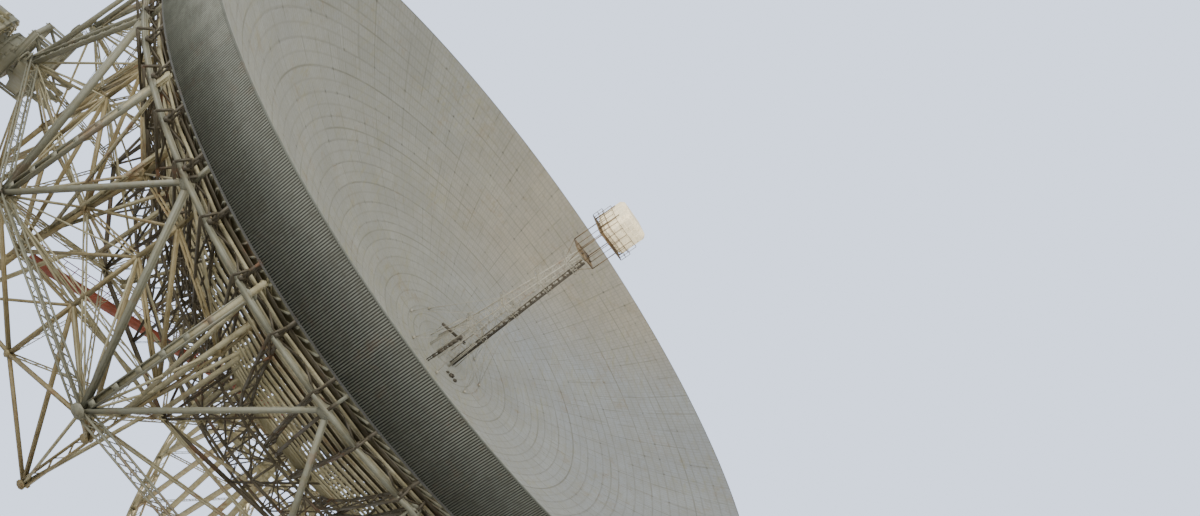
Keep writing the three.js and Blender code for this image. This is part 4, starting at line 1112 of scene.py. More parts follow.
# %% Ring trusses and ties
RIB_GAPS = list(zip(rib_turns, rib_turns[1:] + [rib_turns[0] + 360]))
POST_GAP = 10.3
for share in (0.2, 0.4, 0.6, 0.8):
    works = Works()
    for turn, following in RIB_GAPS:
        gap = following - turn
        parts = 1 if gap < 16 else round(gap / POST_GAP)
        tops = [rib_top(share, turn + gap * i / parts) for i in range(parts + 1)]
        foot, last_foot = rib_foot(share, turn), rib_foot(share, following)
        feet = [foot.lerp(last_foot, i / parts) for i in range(parts + 1)]
        truss(works, tops, feet, 0.020, 0.012, polar(1, turn + gap / 2), LADDER, PAIR, 0.15,
              crossed=share > 0.5)
    # The outer ring truss is near black as painted shade under the skin.
    works.build(f"ring_truss_{round(share * 5)}", steel_paint if share < 0.7 else shade_dark_steel)

works = Works()
TIE_SHARES = (0.02, 0.2, 0.4, 0.6, 0.8, 1.0)
for turn, following in RIB_GAPS:
    for low, high in zip(TIE_SHARES, TIE_SHARES[1:]):
        for first, last in ((turn, following), (following, turn)):
            works.member(PAIR, rib_foot(low, first), rib_foot(high, last), 0.020, 0.014, bay=0.20)
works.build("rib_foot_ties", steel_paint)

# %% [markdown]
# Wheel girders
# Two half circles stand behind the bowl, like the rims of a great wheel, and run over rollers in the
# cradle when the bowl tips. They keep the bowl from swaying in a wind. Each is a truss bent to a
# circle, with spokes up to the ribs' feet, and it carries a rail on its outer edge.

# %% Rim, spokes and rail of a wheel girder
wheel_points = bowl_points("wheel_girder_right")
WHEEL_X = float(wheel_points[:, 0].mean().round(2))
WHEEL_RADIUS = float(np.hypot(wheel_points[:, 1], wheel_points[:, 2]).max())
WHEEL_INSIDE = WHEEL_RADIUS - 0.23
WHEEL_CHORD = 0.04
WHEEL_BAYS = 32
WHEEL_REACH = 95.4
SPOKE_SPREAD = 2.95
WHEEL_SIDES = 0.07

def wheel_place(x, radius, step):
    angle = math.radians(-WHEEL_REACH + 2 * WHEEL_REACH * step / WHEEL_BAYS)
    return Vector((x, radius * math.sin(angle), -radius * math.cos(angle)))

for name, x in (("left", -WHEEL_X), ("right", WHEEL_X)):
    works = Works()
    outer, inner = ([wheel_place(x, radius, i) for i in range(WHEEL_BAYS + 1)]
                    for radius in (WHEEL_RADIUS - WHEEL_CHORD / 2, WHEEL_INSIDE + WHEEL_CHORD / 2))
    across = Vector((1, 0, 0))
    truss(works, outer, inner, WHEEL_CHORD, 0.02, across, LACED, PAIR, 0.13, depth=WHEEL_SIDES)
    for first, last in zip(outer, outer[1:]):
        works.member(BAR, first * 1.0045, last * 1.0045, 0.006, 0.03, side=across)
    seats = []
    for i in range(4, WHEEL_BAYS - 3, 4):
        y = SPOKE_SPREAD * (i - WHEEL_BAYS / 2) / (WHEEL_BAYS / 2 - 4)
        share = (math.hypot(x, y) - RIB_INNER) / (RIB_FOOT_OUT - RIB_INNER)
        seats.append((i, Vector((x, y, rib_foot(share, 0).z - 0.03))))
    for i, seat in seats:
        for step in (i - 2, i, i + 2):
            works.member(BATTENED, inner[step], seat, 0.030, WHEEL_SIDES * 0.8, bay=0.16, side=across)
        gusset(works, seat, across, 0.10, thickness=WHEEL_SIDES)
    for (_, seat), (_, following) in zip(seats, seats[1:]):
        works.member(LACED, seat, following, 0.04, WHEEL_SIDES, bay=0.11, side=across, turn=True)
    made = works.build(f"wheel_lattice_{name}", steel_paint)
    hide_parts(f"wheel_girder_{name}")

# %% Braces between the two wheel girders
works = Works()
for i in range(4, WHEEL_BAYS - 3, 2):
    left, right = (wheel_place(x, WHEEL_INSIDE + 0.03, i) for x in (-WHEEL_X, WHEEL_X))
    works.member(PAIR, left, right, 0.034, 0.02, bay=0.08, side=left)
    following = wheel_place(WHEEL_X, WHEEL_INSIDE + 0.03, i + 2)
    if i < WHEEL_BAYS - 4:
        works.member(PAIR, left, following, 0.026, 0.018, bay=0.08, side=left)
works.build("wheel_cross_braces", steel_paint)

# %% [markdown]
# Mast and focus cabin
# The aerial stands at the focus, on a slim square mast that is braced by guys. A rigger climbs it by
# a dark ladderway on its near leg, past small landings with their rails. At its head a square frame
# and its posts hold a cabin for the receivers, panelled in cream sheet, with a railed gallery round
# its back.

# %% Mast lattice
mast_points = bowl_points("mast")
MAST_FOOT = float(mast_points[:, 2].min())
MAST_HEAD = float(mast_points[:, 2].max())
MAST_HALF_FOOT = float(np.abs(mast_points[:, 0]).max()) - 0.008
MAST_HALF_HEAD = 0.042
MAST_BAYS = 30
LANDINGS = (0.95, 1.4, 1.85, 2.2)
CORNERS = ((-1, -1), (1, -1), (1, 1), (-1, 1))

def mast_corner(corner, z, out=0.0):
    share = (z - MAST_FOOT) / (MAST_HEAD - MAST_FOOT)
    half = MAST_HALF_FOOT + (MAST_HALF_HEAD - MAST_HALF_FOOT) * share + out
    return Vector((corner[0] * half, corner[1] * half, z))

def neighbours(items):
    """Each item with the one after it, and the last with the first."""
    return zip(items, items[1:] + items[:1])

def landing(works, centre, half, rail):
    """A square deck round a column, with posts, a hand rail and a knee rail on each side."""
    corners = [centre + Vector((half * x, half * y, 0)) for x, y in CORNERS]
    for first, last in neighbours(corners):
        side = (first + last) / 2 - centre
        works.member(BAR, first - side * 0.12, last - side * 0.12, half * 0.25, 0.004)
        for height in (rail, rail / 2):
            works.member(BAR, raised(first, height), raised(last, height), 0.004)
        for share in (0.0, 0.25, 0.5, 0.75):
            post = first.lerp(last, share)
            works.member(BAR, post, raised(post, rail), 0.004, side=side)

works = Works()
levels = [MAST_FOOT + (MAST_HEAD - MAST_FOOT) * i / MAST_BAYS for i in range(MAST_BAYS + 1)]
for corner, following in neighbours(CORNERS):
    face = Vector((corner[0] + following[0], corner[1] + following[1], 0))
    works.member(BAR, mast_corner(corner, MAST_FOOT), mast_corner(corner, MAST_HEAD), 0.010, side=face)
    for i, (low, high) in enumerate(zip(levels, levels[1:])):
        works.member(BAR, mast_corner(corner, low), mast_corner(following, low), 0.005, 0.005, side=face)
        first, last = (corner, following) if i % 2 else (following, corner)
        works.member(BAR, mast_corner(first, low), mast_corner(last, high), 0.004, 0.004, side=face)
works.member(FLANGED, Vector((0, 0, MAST_HEAD - 0.02)), Vector((0, 0, MAST_HEAD)), 0.1, side=Y)
for z in LANDINGS:
    landing(works, Vector((0, 0, z)), 0.16 - 0.03 * z, 0.06)
made = works.build("mast_lattice", mast_paint)
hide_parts("mast")

# %% Ladderway on the near leg, with its cables, near black as painted shade for the leg's shaded face
works = Works()
near_leg = (1, -1)
LADDER_FOOT = 0.40
CABLE_BOXES = 26
start, end = (mast_corner(near_leg, z, 0.004) for z in (LADDER_FOOT, MAST_HEAD - 0.03))
outward = Vector((*near_leg, 0)).normalized()
works.member(LACED, start, end, 0.046, 0.040, bay=0.05, side=outward, turn=True)
works.member(BAR, start + outward * 0.03, end + outward * 0.03, 0.006, side=outward)
for step in range(CABLE_BOXES):
    place = start.lerp(end, (step + 0.5) / CABLE_BOXES)
    reach = 0.020 + 0.012 * (step % 3)
    works.member(BAR, place, place + (end - start).normalized() * 0.016, reach * 2, 0.034, side=outward)
works.build("mast_ladderway", mast_dark_and_shade, slot="dark_steel")

# %% Vertex plate round the mast's foot
VERTEX_PLATE = 0.205
plate_profile = [(0.02, DISH_LIFT), (0.15, DISH_LIFT), (VERTEX_PLATE, dish_z(VERTEX_PLATE) + 0.002),
                 (VERTEX_PLATE, dish_z(VERTEX_PLATE) - 0.006), (0.02, DISH_LIFT - 0.008)]
vertex_plate = spun(plate_profile, 48)
settle(vertex_plate, "vertex_plate", dish_finish, "bowl", smooth=20)
print("vertex plate", len(vertex_plate.data.polygons), "faces")

# %% Guys and props at the mast's foot
GUY_ANCHOR, GUY_HEIGHTS = 0.56, (0.75, 1.05, 1.4)
works = Works()

def on_dish(x, y, lift=0.0):
    return Vector((x, y, dish_z(math.hypot(x, y)) + lift))

for turn in range(30, 360, 45):
    foot = on_dish(*polar(GUY_ANCHOR, turn).xy, 0.01)
    corner = CORNERS[int(((turn + 180) % 360) // 90)]
    works.member(BAR, raised(foot, -0.012), raised(foot, 0.02), 0.03, 0.02, side=X)
    for z in GUY_HEIGHTS:
        works.member(TUBE, mast_corner(corner, z), foot, 0.004)
for turn in range(20, 360, 45):
    foot, head = polar(0.22, turn, dish_z(0.22)), polar(0.17, turn, 0.9)
    works.member(PAIR, foot, head, 0.03, 0.006, bay=0.04, side=polar(1, turn))
    works.member(TUBE, foot, polar(0.07, turn, 1.9), 0.0035)
works.build("mast_guys", mast_paint, slot="steel_paint")

# %% Jib, cable drums and boxes at the mast's foot
boxes = Works()
boxes.member(FLANGED, (0.05, -0.06, 0.76), (-0.31, -0.06, 0.76), 0.024)
boxes.member(TUBE, (-0.29, -0.06, 0.76), (-0.29, -0.06, 0.66), 0.005, side=X)
for x, y, size in ((0.10, -0.36, 0.036), (0.15, -0.40, 0.028), (0.05, -0.34, 0.022)):
    foot = on_dish(x, y, -0.004)
    boxes.member(FLANGED, foot, raised(foot, size), size, size * 1.3, side=(1, 0.4, 0))
column_foot, column_head = on_dish(-0.27, -0.44), Vector((-0.24, -0.40, 0.96))
boxes.member(LADDER, column_foot, column_head, 0.03, 0.012, bay=0.03, side=Y)
for share, width in ((0.2, 0.03), (0.38, 0.05), (0.52, 0.024), (0.68, 0.055), (0.8, 0.06), (0.95, 0.03)):
    middle = column_foot.lerp(column_head, share)
    reach = (column_head - column_foot).normalized() * width / 2
    boxes.member(FLANGED, middle - reach, middle + reach, 0.027, 0.032, side=Y)
boxes.build("mast_machinery", mast_dark_and_shade, slot="dark_steel")

# %% Focus frame
frame_points = bowl_points("focus_frame")
FRAME_Z = float(frame_points[:, 2].min()) + 0.012
FRAME_HALF = 0.13
cabin_heights = bowl_points("focus_cabin")[:, 2]
CABIN_BACK, CABIN_FRONT = float(cabin_heights.min()), float(cabin_heights.max())
CABIN_HALF = 0.2
works = Works()
frame_corners = [Vector((FRAME_HALF * x, FRAME_HALF * y, FRAME_Z)) for x, y in CORNERS]
for corner, following in neighbours(frame_corners):
    head = Vector((corner.x, corner.y, CABIN_BACK - 0.0003))
    works.member(FLANGED, corner, following, 0.011)
    works.member(TUBE, corner, head, 0.011)
    middle = (corner + following) / 2
    works.member(TUBE, middle, Vector((*middle.xy, CABIN_BACK)), 0.007)
    works.member(BAR, Vector((0, 0, FRAME_Z)), corner, 0.010)
    works.member(TUBE, corner, mast_corner(corner.xy / FRAME_HALF, MAST_HEAD - 0.18), 0.006)
for x, y in ((1, 0), (0, 1)):
    reach = Vector((x, y, 0)) * FRAME_HALF
    middle = Vector((0, 0, FRAME_Z))
    works.member(FLANGED, middle - reach, middle + reach, 0.024)
made = works.build("focus_frame_tubes", brown_steel)
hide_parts("focus_frame")

# %% Focus cabin with its panels
CABIN_BODY = 0.172

def cabin_shell():
    bpy.ops.object.select_all(action="DESELECT")
    middle = (CABIN_BACK + CABIN_FRONT) / 2
    bpy.ops.mesh.primitive_cube_add(size=1, location=(0, 0, middle + 0.01))
    thing = bpy.context.active_object
    thing.scale = (2 * CABIN_BODY, 2 * CABIN_BODY, CABIN_FRONT - CABIN_BACK - 0.03)
    bpy.ops.object.transform_apply(location=False, rotation=False, scale=True)
    bpy.ops.object.mode_set(mode="EDIT")
    bpy.ops.mesh.select_all(action="SELECT")
    bpy.ops.mesh.bevel(offset=0.035, segments=1)
    bpy.ops.mesh.select_all(action="SELECT")
    bpy.ops.mesh.subdivide(number_cuts=3)
    bpy.ops.mesh.inset(thickness=0.003, use_individual=True)
    bpy.ops.mesh.inset(thickness=0.0025, depth=0.003, use_individual=True)
    bpy.ops.object.mode_set(mode="OBJECT")
    return thing

cabin = settle(cabin_shell(), "focus_cabin_panels", cream_paint, "bowl")
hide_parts("focus_cabin")
works = Works()
deck = Vector((0, 0, CABIN_BACK + 0.006))
landing(works, deck, CABIN_HALF - 0.002, 0.11)
landing(works, deck, CABIN_BODY + 0.006, 0.2)
works.member(BAR, (0, 0, CABIN_BACK), deck, 2 * CABIN_HALF - 0.004, side=Y)
for x, y in CORNERS:
    foot, head = (Vector((x * 0.19, y * 0.1, z)) for z in (CABIN_BACK, CABIN_FRONT - 0.1))
    works.member(BAR, foot, head, 0.008, side=Y)
works.build("cabin_gallery", brown_steel)

# %% [markdown]
# Service beam
# A red-brown beam hangs behind the left ribs. It carries a gangway with rails, and its inner end is
# lighter: two flanges with batten plates between, which read as a row of holes.

# %% Beam, gangway and holed end
beam_points = bowl_points("service_beam")
BEAM_OUT, BEAM_IN = float(beam_points[:, 0].min()), float(beam_points[:, 0].max())
BEAM_Y, BEAM_Z = -1.0, -0.6
BEAM_HEIGHT, BEAM_WIDTH = 0.07, 0.045
HOLED_FROM = -1.45
RAIL_BACK = BEAM_Y + 0.02
works = Works()

def along_beam(unit, x0, x1, z, *sizes, y=BEAM_Y, bay=None):
    works.member(unit, (x0, y, z), (x1, y, z), *sizes, bay=bay, side=Y)

along_beam(FLANGED, BEAM_OUT, HOLED_FROM, BEAM_Z, BEAM_HEIGHT, BEAM_WIDTH)
for offset in (-0.4, 0.4):
    along_beam(BAR, HOLED_FROM, BEAM_IN, BEAM_Z + BEAM_HEIGHT * offset, BEAM_HEIGHT * 0.2, BEAM_WIDTH)
along_beam(BATTENED, HOLED_FROM, BEAM_IN, BEAM_Z, BEAM_HEIGHT, BEAM_WIDTH * 0.6, bay=0.05)
hang_x = BEAM_Y / math.tan(math.radians(28.125))
works.member(BATTENED, (hang_x, BEAM_Y, BEAM_Z), (hang_x, BEAM_Y, -0.32), 0.04, bay=0.06, side=Y)
for step in range(int((BEAM_IN - BEAM_OUT) / 0.08)):
    x = BEAM_OUT + 0.02 + 0.08 * step
    works.member(BAR, (x, RAIL_BACK, BEAM_Z + 0.035), (x, RAIL_BACK, BEAM_Z + 0.14), 0.005, side=X)
for height in (0.09, 0.14):
    along_beam(BAR, BEAM_OUT, BEAM_IN, BEAM_Z + height, 0.005, y=RAIL_BACK)
made = works.build("service_beam_gangway", red_paint, slot="red_paint")
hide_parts("service_beam")

# %% [markdown]
# Towers
# The two towers are outside the photograph, so they follow what such a telescope needs: a broad foot
# on two bogies, faces braced with crosses, a narrow head under the bearing. Their members are made
# as the bowl's are. Stairs climb inside, from landing to landing.

# %% Lattice faces of the towers
inner_face = node_points("tower_right_inner_face")
TOWER_LEVELS = (0.48, 1.62, 2.6, 3.44, 4.14, 4.75)
TOWER_IN = float(inner_face[:, 0].mean().round(2))
TOWER_OUT_FOOT, TOWER_OUT_HEAD = 5.0, 4.8
TOWER_HALF_FOOT = float(inner_face[:, 1].max())
TOWER_HALF_HEAD = 0.35
TOWER_LEG, TOWER_PLATE = 0.09, 0.06

def tower_share(z):
    return (z - TOWER_LEVELS[0]) / (TOWER_LEVELS[-1] - TOWER_LEVELS[0])

def tower_half(z):
    return TOWER_HALF_FOOT + (TOWER_HALF_HEAD - TOWER_HALF_FOOT) * tower_share(z) - TOWER_LEG / 2

def tower_out(z):
    return TOWER_OUT_FOOT + (TOWER_OUT_HEAD - TOWER_OUT_FOOT) * tower_share(z)

def tower_face(works, near, far, levels, normal, middle_rows):
    """Legs, horizontals and crosses of one face; near and far give a leg's place at a height."""
    for leg in (near, far):
        works.member(LACED, leg(levels[0]), leg(levels[-1]), TOWER_LEG, TOWER_PLATE, bay=0.15, side=normal)
    for i, (low, high) in enumerate(zip(levels, levels[1:])):
        a, b, c, d = near(low), far(low), far(high), near(high)
        works.member(LACED, a, b, 0.05, TOWER_PLATE, bay=0.15, side=normal)
        if i < middle_rows:
            foot, head = (a + b) / 2, (c + d) / 2
            works.member(BATTENED, foot, head, 0.044, 0.05, bay=0.15, side=normal)
            pairs = ((a, head), (foot, d), (foot, c), (b, head))
        else:
            pairs = ((a, c), (b, d))
        for first, last in pairs:
            works.member(BATTENED, first, last, 0.044, 0.05, bay=0.15, side=normal)
            gusset(works, (first + last) / 2, normal, 0.12, thickness=0.05)
        for node in (a, b):
            gusset(works, node, normal, 0.2, thickness=TOWER_PLATE)
    works.member(LACED, near(levels[-1]), far(levels[-1]), 0.06, TOWER_PLATE, bay=0.11, side=normal)

print("towers from", TOWER_LEVELS[0], "to", TOWER_LEVELS[-1], "m, inner face at", TOWER_IN)

# %% Four faces of each tower
FACE_LEVELS = (0.51, *TOWER_LEVELS[1:-1], 4.71)
FACE_INSET = 0.09

def inner_reach(z):
    return TOWER_IN

def inset_in(z):
    return TOWER_IN + FACE_INSET

def inset_out(z):
    return tower_out(z) - FACE_INSET

# the reach along x and the end along y of a face's two legs, then its normal and its rows of middle posts
FACES = {
    "inner": ((inner_reach, -1), (inner_reach, 1), X, 2),
    "outer": ((tower_out, -1), (tower_out, 1), X, 2),
    "front": ((inset_in, -1), (inset_out, -1), (0, 1, 0.3), 0),
    "rear": ((inset_in, 1), (inset_out, 1), (0, 1, 0.3), 0),
}

def tower_leg(side, reach, end):
    return lambda z: Vector((side * reach(z), end * tower_half(z), z))

for side_name, side in (("left", -1), ("right", 1)):
    for face_name, (near, far, normal, middle_rows) in FACES.items():
        works = Works()
        tower_face(works, tower_leg(side, *near), tower_leg(side, *far), FACE_LEVELS, normal, middle_rows)
        made = works.build(f"tower_lattice_{side_name}_{face_name}", steel_paint, "alidade")
        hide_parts(f"tower_{side_name}_{face_name}_face")

# %% Base girders
base_points = node_points("base_girder_rear")
GIRDER_X = float(base_points[:, 0].max())
GIRDER_LOW, GIRDER_HIGH = float(base_points[:, 2].min()), float(base_points[:, 2].max())
GIRDER_Y = float(base_points[:, 1].mean().round(2))
GIRDER_CHORD = 0.09
GIRDER_BAYS = 20
for name, y in (("front", -GIRDER_Y), ("rear", GIRDER_Y)):
    works = Works()
    xs = [-GIRDER_X + 0.02 + (2 * GIRDER_X - 0.04) * i / GIRDER_BAYS for i in range(GIRDER_BAYS + 1)]
    tops = [Vector((x, y, GIRDER_HIGH - GIRDER_CHORD / 2)) for x in xs]
    feet = [Vector((x, y, GIRDER_LOW + GIRDER_CHORD / 2)) for x in xs]
    truss(works, tops, feet, GIRDER_CHORD, 0.044, Y, LACED, BATTENED, 0.15, depth=0.05)
    for node in (*tops[::2], *feet[::2]):
        gusset(works, node, Y, 0.17, thickness=0.05)
    made = works.build(f"base_lattice_{name}", steel_paint, "alidade")
    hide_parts(f"base_girder_{name}")

# %% [markdown]
# Inner wall of the drum
# Inside the ring girder and the columns of the back ring stands a second wall. Heavy double columns
# run along the aim at the back nodes and lighter struts at the nodes between, both well past the
# back ring, and long ties zigzag from one to the other. These are the yellow-brown members at the
# left of the photograph. They stand only within fifty degrees of the trunnions.

# %% Columns, struts and ties of the inner wall
COLUMN_NODES = [(3.70, -0.50), (3.66, 0.02), (3.58, 0.53), (3.50, 0.94)]
STRUT_NODES = [(3.73, -0.14), (3.69, 0.38), (3.65, 0.88), (3.62, 1.17)]
WALL_REACH = 50
wall, wall_ties = Works(), Works()

def wall_nodes(places, turn):
    last = places[-1][0]
    return [polar(radius, turn, z) for radius, z in places] + [behind_skin(last, turn, 0.02)]

def by_trunnion(turn):
    return min(turn % 180, 180 - turn % 180) < WALL_REACH

def wall_foot(turn):
    return polar(2.9, turn, -0.30)

for turn in filter(by_trunnion, back_turns):
    outward = polar(1, turn)
    column = wall_nodes(COLUMN_NODES, turn)
    for first, last in zip(column, column[1:]):
        wall.member(PAIR, first, last, 0.050, 0.026, bay=0.20, side=outward)
    for node in column[:-1]:
        wall_ties.member(BAR, node, back_node(turn, -0.02), 0.012, side=polar(1, turn + 90))
        gusset(wall, node, outward, 0.06, 0.05, 0.026)
    wall_ties.member(BAR, column[0], rib_foot(0.86, turn), 0.020, side=polar(1, turn + 90))
for turn in filter(by_trunnion, front_turns):
    outward = polar(1, turn)
    strut = wall_nodes(STRUT_NODES, turn)
    for first, last in zip(strut, strut[1:]):
        wall.member(FLANGED, first, last, 0.020, side=outward)
    gusset(wall, strut[0], outward, 0.045, thickness=0.02)
    for neighbour in [other for other in back_turns if abs(other - turn) < HALF_BAY + 1]:
        column = wall_nodes(COLUMN_NODES, neighbour)
        for k in range(1, 4):
            wall.member(FLANGED, strut[k], column[k - 1], 0.018, side=outward)
            wall.member(PAIR, strut[k], column[k], 0.028, 0.016, bay=0.20, side=outward)
        wall.member(FLANGED, strut[0], back_node(neighbour, -0.03), 0.018, side=outward)
        wall.member(BAR, strut[0], column[0], 0.016, side=outward)
        beyond = back_node(neighbour + 2 * (turn - neighbour))
        wall_ties.member(PAIR, column[2], beyond, 0.036, 0.008, bay=0.3, side=outward)
        for node in strut[1:3]:
            wall_ties.member(BAR, node, back_node(neighbour), 0.009, side=outward)
        wall_ties.member(PAIR, strut[0], rib_foot(0.74, neighbour), 0.022, 0.010, bay=0.1)
        wall_ties.member(PAIR, column[1], wall_foot(turn), 0.022, 0.010, bay=0.1)
        wall_ties.member(BAR, strut[2], polar(2.9, neighbour, -0.05), 0.010)
        wall_ties.member(BAR, front_node(turn), column[3], 0.011, side=outward)
    foot, head = wall_foot(turn), behind_skin(2.9, turn, 0.03)
    wall_ties.member(BAR, strut[1], foot, 0.014)
    wall_ties.member(LADDER, foot, head, 0.022, 0.016, bay=0.05, side=outward)
wall.build("inner_wall", tan_steel)
wall_ties.build("inner_wall_ties", steel_paint)

# %% Brackets from the ring girder out to the foot of the cladding
works = Works()
for turn in PANEL_TURNS:
    along = polar(1, turn + 90)
    foot = polar(RIM_RADIUS - 0.014, turn, SKIN_Z + 0.004)
    ring = polar(FRONT["radius"] - 0.01, turn, FRONT["z"])
    inside = behind_skin(3.62, turn, 0.06)
    for first, last, width in ((ring, foot, 0.022), (ring, inside, 0.018), (inside, foot, 0.012)):
        works.member(PAIR if width > 0.013 else BAR, first, last, width, 0.016, bay=0.12, side=along)
    for lean in (-2.5, 2.5):
        works.member(BAR, ring, behind_skin(3.70, turn + lean, 0.05), 0.009, side=along)
    works.member(BAR, ring.lerp(foot, 0.02), ring.lerp(foot, 0.22), 0.036, 0.022, side=along)
# The brackets are near black as painted shade under the cladding.
works.build("girder_brackets", shade_dark_steel)

# %% [markdown]
# Finishes for the frame's own pieces
# The hub, the bearings, the bogies, the cradle, the pivot and the ground works have the right shape in
# the frame, so they stay and only take a finish: the same weathered paints as the new pieces, and for
# the ground works a concrete with the stains of rain and grease.

# %% Finishes of the frame's pieces

def dress(material, *names):
    for name in names:
        for slot in frame["nodes"][name].material_slots:
            slot.material = material

BOGIES = [f"bogie_{side}_{end}" for side in ("left", "right") for end in ("front", "rear")]
dress(steel_paint, "hub", "pivot_frame")
dress(bright_steel, "bearing_housing_left", "bearing_housing_right")
dress(dark_steel, "cradle", *BOGIES)
dress(concrete, "track_ring", "pintle_block")
print("frame's own pieces painted")

# %% Rings and rows of bolts, and hoops of bars

def bolt_ring(works, centre, normal, radius, count, size=0.014, height=0.008):
    centre, normal = Vector(centre), Vector(normal).normalized()
    across = normal.orthogonal().normalized()
    for i in range(count):
        angle = 2 * math.pi * (i + 0.5) / count
        place = centre + (across * math.cos(angle) + normal.cross(across) * math.sin(angle)) * radius
        works.member(BOLT, place - normal * 0.001, place + normal * height, size, side=across)

def bolt_row(works, first, last, normal, count, size=0.014, height=0.008):
    first, last, normal = Vector(first), Vector(last), Vector(normal).normalized()
    for i in range(count):
        place = first.lerp(last, i / (count - 1))
        works.member(BOLT, place - normal * 0.001, place + normal * height, size, side=last - first)

def hoop(works, radius, z, count, width, depth, on_edge=False):
    """Straight bars end to end round the z axis, flat or on edge."""
    step = 360 / count
    for i in range(count):
        ends = polar(radius, step * i, z), polar(radius, step * (i + 1), z)
        works.member(BAR, *ends, width, depth, side=polar(1, step * (i + 0.5)) if on_edge else UP)

def arc(works, centre, radius, width, depth, start=0, step=15, count=24):
    """Straight bars end to end round a centre, square to the elevation axis."""
    ways = [Vector((0, *polar(1, start + step * i).xy)) for i in range(count + 1)]
    for first, last in zip(ways, ways[1:]):
        ends = centre + first * radius, centre + last * radius
        works.member(BAR, *ends, width, depth, side=first + last)

print("bolt has", len(BOLT[2]), "faces")

# %% [markdown]
# Hub and trunnions
# The hub is a riveted drum with stiffeners all round, where fourteen ribs come together; a hatch in
# its back lets a fitter in. Each trunnion is a cast drum bolted to a braced boss of beams, with
# ribs to spread its load. The boss is open, as the frame round it is, so the sky shows through it.
# On a casting this size the flange, its bolts and its ribs are what the eye reads.

# %% Stiffeners and hatch of the hub
hub_shape = bowl_points("hub")
HUB_RADIUS = float(np.hypot(hub_shape[:, 0], hub_shape[:, 1]).max())
HUB_BACK = float(hub_shape[:, 2].min())
works = Works()
for i in range(28):
    turn = 360 * (i + 0.5) / 28
    low, high = (polar(HUB_RADIUS + 0.008, turn, z) for z in (HUB_BACK + 0.07, -0.29))
    works.member(BAR, low, high, 0.008, 0.024, side=polar(1, turn))
    spoke = (polar(radius, turn, HUB_BACK - 0.006) for radius in (0.12, HUB_RADIUS - 0.07))
    works.member(BAR, *spoke, 0.008, 0.016)
for z in (HUB_BACK + 0.09, -0.95, -0.65, -0.35):
    hoop(works, HUB_RADIUS + 0.010, z, 36, 0.012, 0.022, on_edge=True)
    for i in range(14):
        turn = 360 / 14 * i
        bolt_ring(works, polar(HUB_RADIUS, turn, z + 0.05), polar(1, turn), 0.02, 6, 0.006, 0.004)
for radius in (0.10, HUB_RADIUS - 0.075):
    hoop(works, radius, HUB_BACK - 0.005, 24, 0.014, 0.010)
bolt_ring(works, (0, 0, HUB_BACK), (0, 0, -1), HUB_RADIUS - 0.09, 36, 0.010, 0.006)
works.member(FLANGED, (0, 0, HUB_BACK + 0.01), (0, 0, HUB_BACK - 0.012), 0.13, 0.09, side=Y)
works.member(TUBE, (-0.03, 0, HUB_BACK - 0.02), (0.03, 0, HUB_BACK - 0.02), 0.006)
works.build("hub_stiffeners", steel_paint)

# %% Bosses, drums, flanges and bolts of the trunnions
BOSS_IN, BOSS_OUT, BOSS_HALF, BOSS_FOOT, BOSS_HEAD = 3.846, 4.05, 0.13, -0.17, 0.372
DRUM_OUT, DRUM_RADIUS, SHAFT_RADIUS, SHAFT_END = 4.125, 0.185, 0.12, 4.70
POST, FRAME, BRACE = 0.040, 0.030, 0.018
works = Works()
for side in (-1, 1):
    out = Vector((side, 0, 0))
    inner, outer, edge = side * (BOSS_IN + POST / 2), side * (BOSS_OUT - POST / 2), BOSS_HALF - POST / 2
    works.member(ROUND, out * (BOSS_OUT - 0.03), out * DRUM_OUT, 2 * DRUM_RADIUS)
    works.member(ROUND, out * BOSS_OUT, out * SHAFT_END, 2 * SHAFT_RADIUS)
    works.member(LACED, out * (BOSS_IN - 0.14), out * BOSS_IN, 0.19, bay=0.14)
    for x in (inner, outer):
        for y in (-edge, edge):
            works.member(FLANGED, (x, y, BOSS_FOOT), (x, y, BOSS_HEAD), POST, side=out)
    levels = (BOSS_FOOT + FRAME / 2, 0.0, 0.19, BOSS_HEAD - FRAME / 2)
    for z in levels:
        for x in (inner, outer):
            works.member(CHANNELS, (x, -edge, z), (x, edge, z), FRAME, side=out)
        for y in (-edge, edge):
            works.member(CHANNELS, (inner, y, z), (outer, y, z), FRAME, side=Y)
    for low, high in zip(levels, levels[1:]):
        for first, last in ((-edge, edge), (edge, -edge)):
            works.member(BAR, (inner, first, low), (inner, last, high), BRACE, BRACE / 2, side=out)
        for y in (-edge, edge):
            works.member(BAR, (inner, y, low), (outer, y, high), BRACE, BRACE / 2, side=Y)
    bolt_ring(works, out * DRUM_OUT, out, 0.158, 24, 0.016, 0.010)
    bolt_ring(works, out * DRUM_OUT, out, 0.135, 12, 0.010, 0.006)
    for x in (BOSS_OUT + 0.012, DRUM_OUT - 0.012):
        arc(works, out * x, DRUM_RADIUS + 0.002, 0.018, 0.012)
    for i in range(12):
        way = Vector((0, *polar(1, 30 * i).xy))
        ends = (out * x + way * DRUM_RADIUS for x in (BOSS_OUT + 0.01, DRUM_OUT - 0.01))
        works.member(BAR, *ends, 0.010, 0.014, side=way)
    for y in (-edge, edge):
        bolt_row(works, (side * BOSS_OUT, y, 0.2), (side * BOSS_OUT, y, 0.36), out, 5, 0.010)
    for up in (-1, 1):
        foot, head = Vector((side * 3.92, up * 0.08, -0.13)), Vector((side * 3.92, up * 0.41, 0.33))
        works.member(PAIR, foot, head, 0.075, 0.075, bay=0.1, side=out)
        gusset(works, head, out, 0.12, 0.08, thickness=0.075)
made = works.build("trunnion_flanges", bright_steel, slot="dark_steel")
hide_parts("trunnion_left", "trunnion_right")

# %% [markdown]
# Bearings, towers and base
# A bearing housing is a split casting: a cap bolted to a foot, with a round flange at each face. The
# towers carry stairs from deck to deck, so that both bearings can be greased, and the base girders
# carry a walkway. All of these are guessed from how such works are usually built.

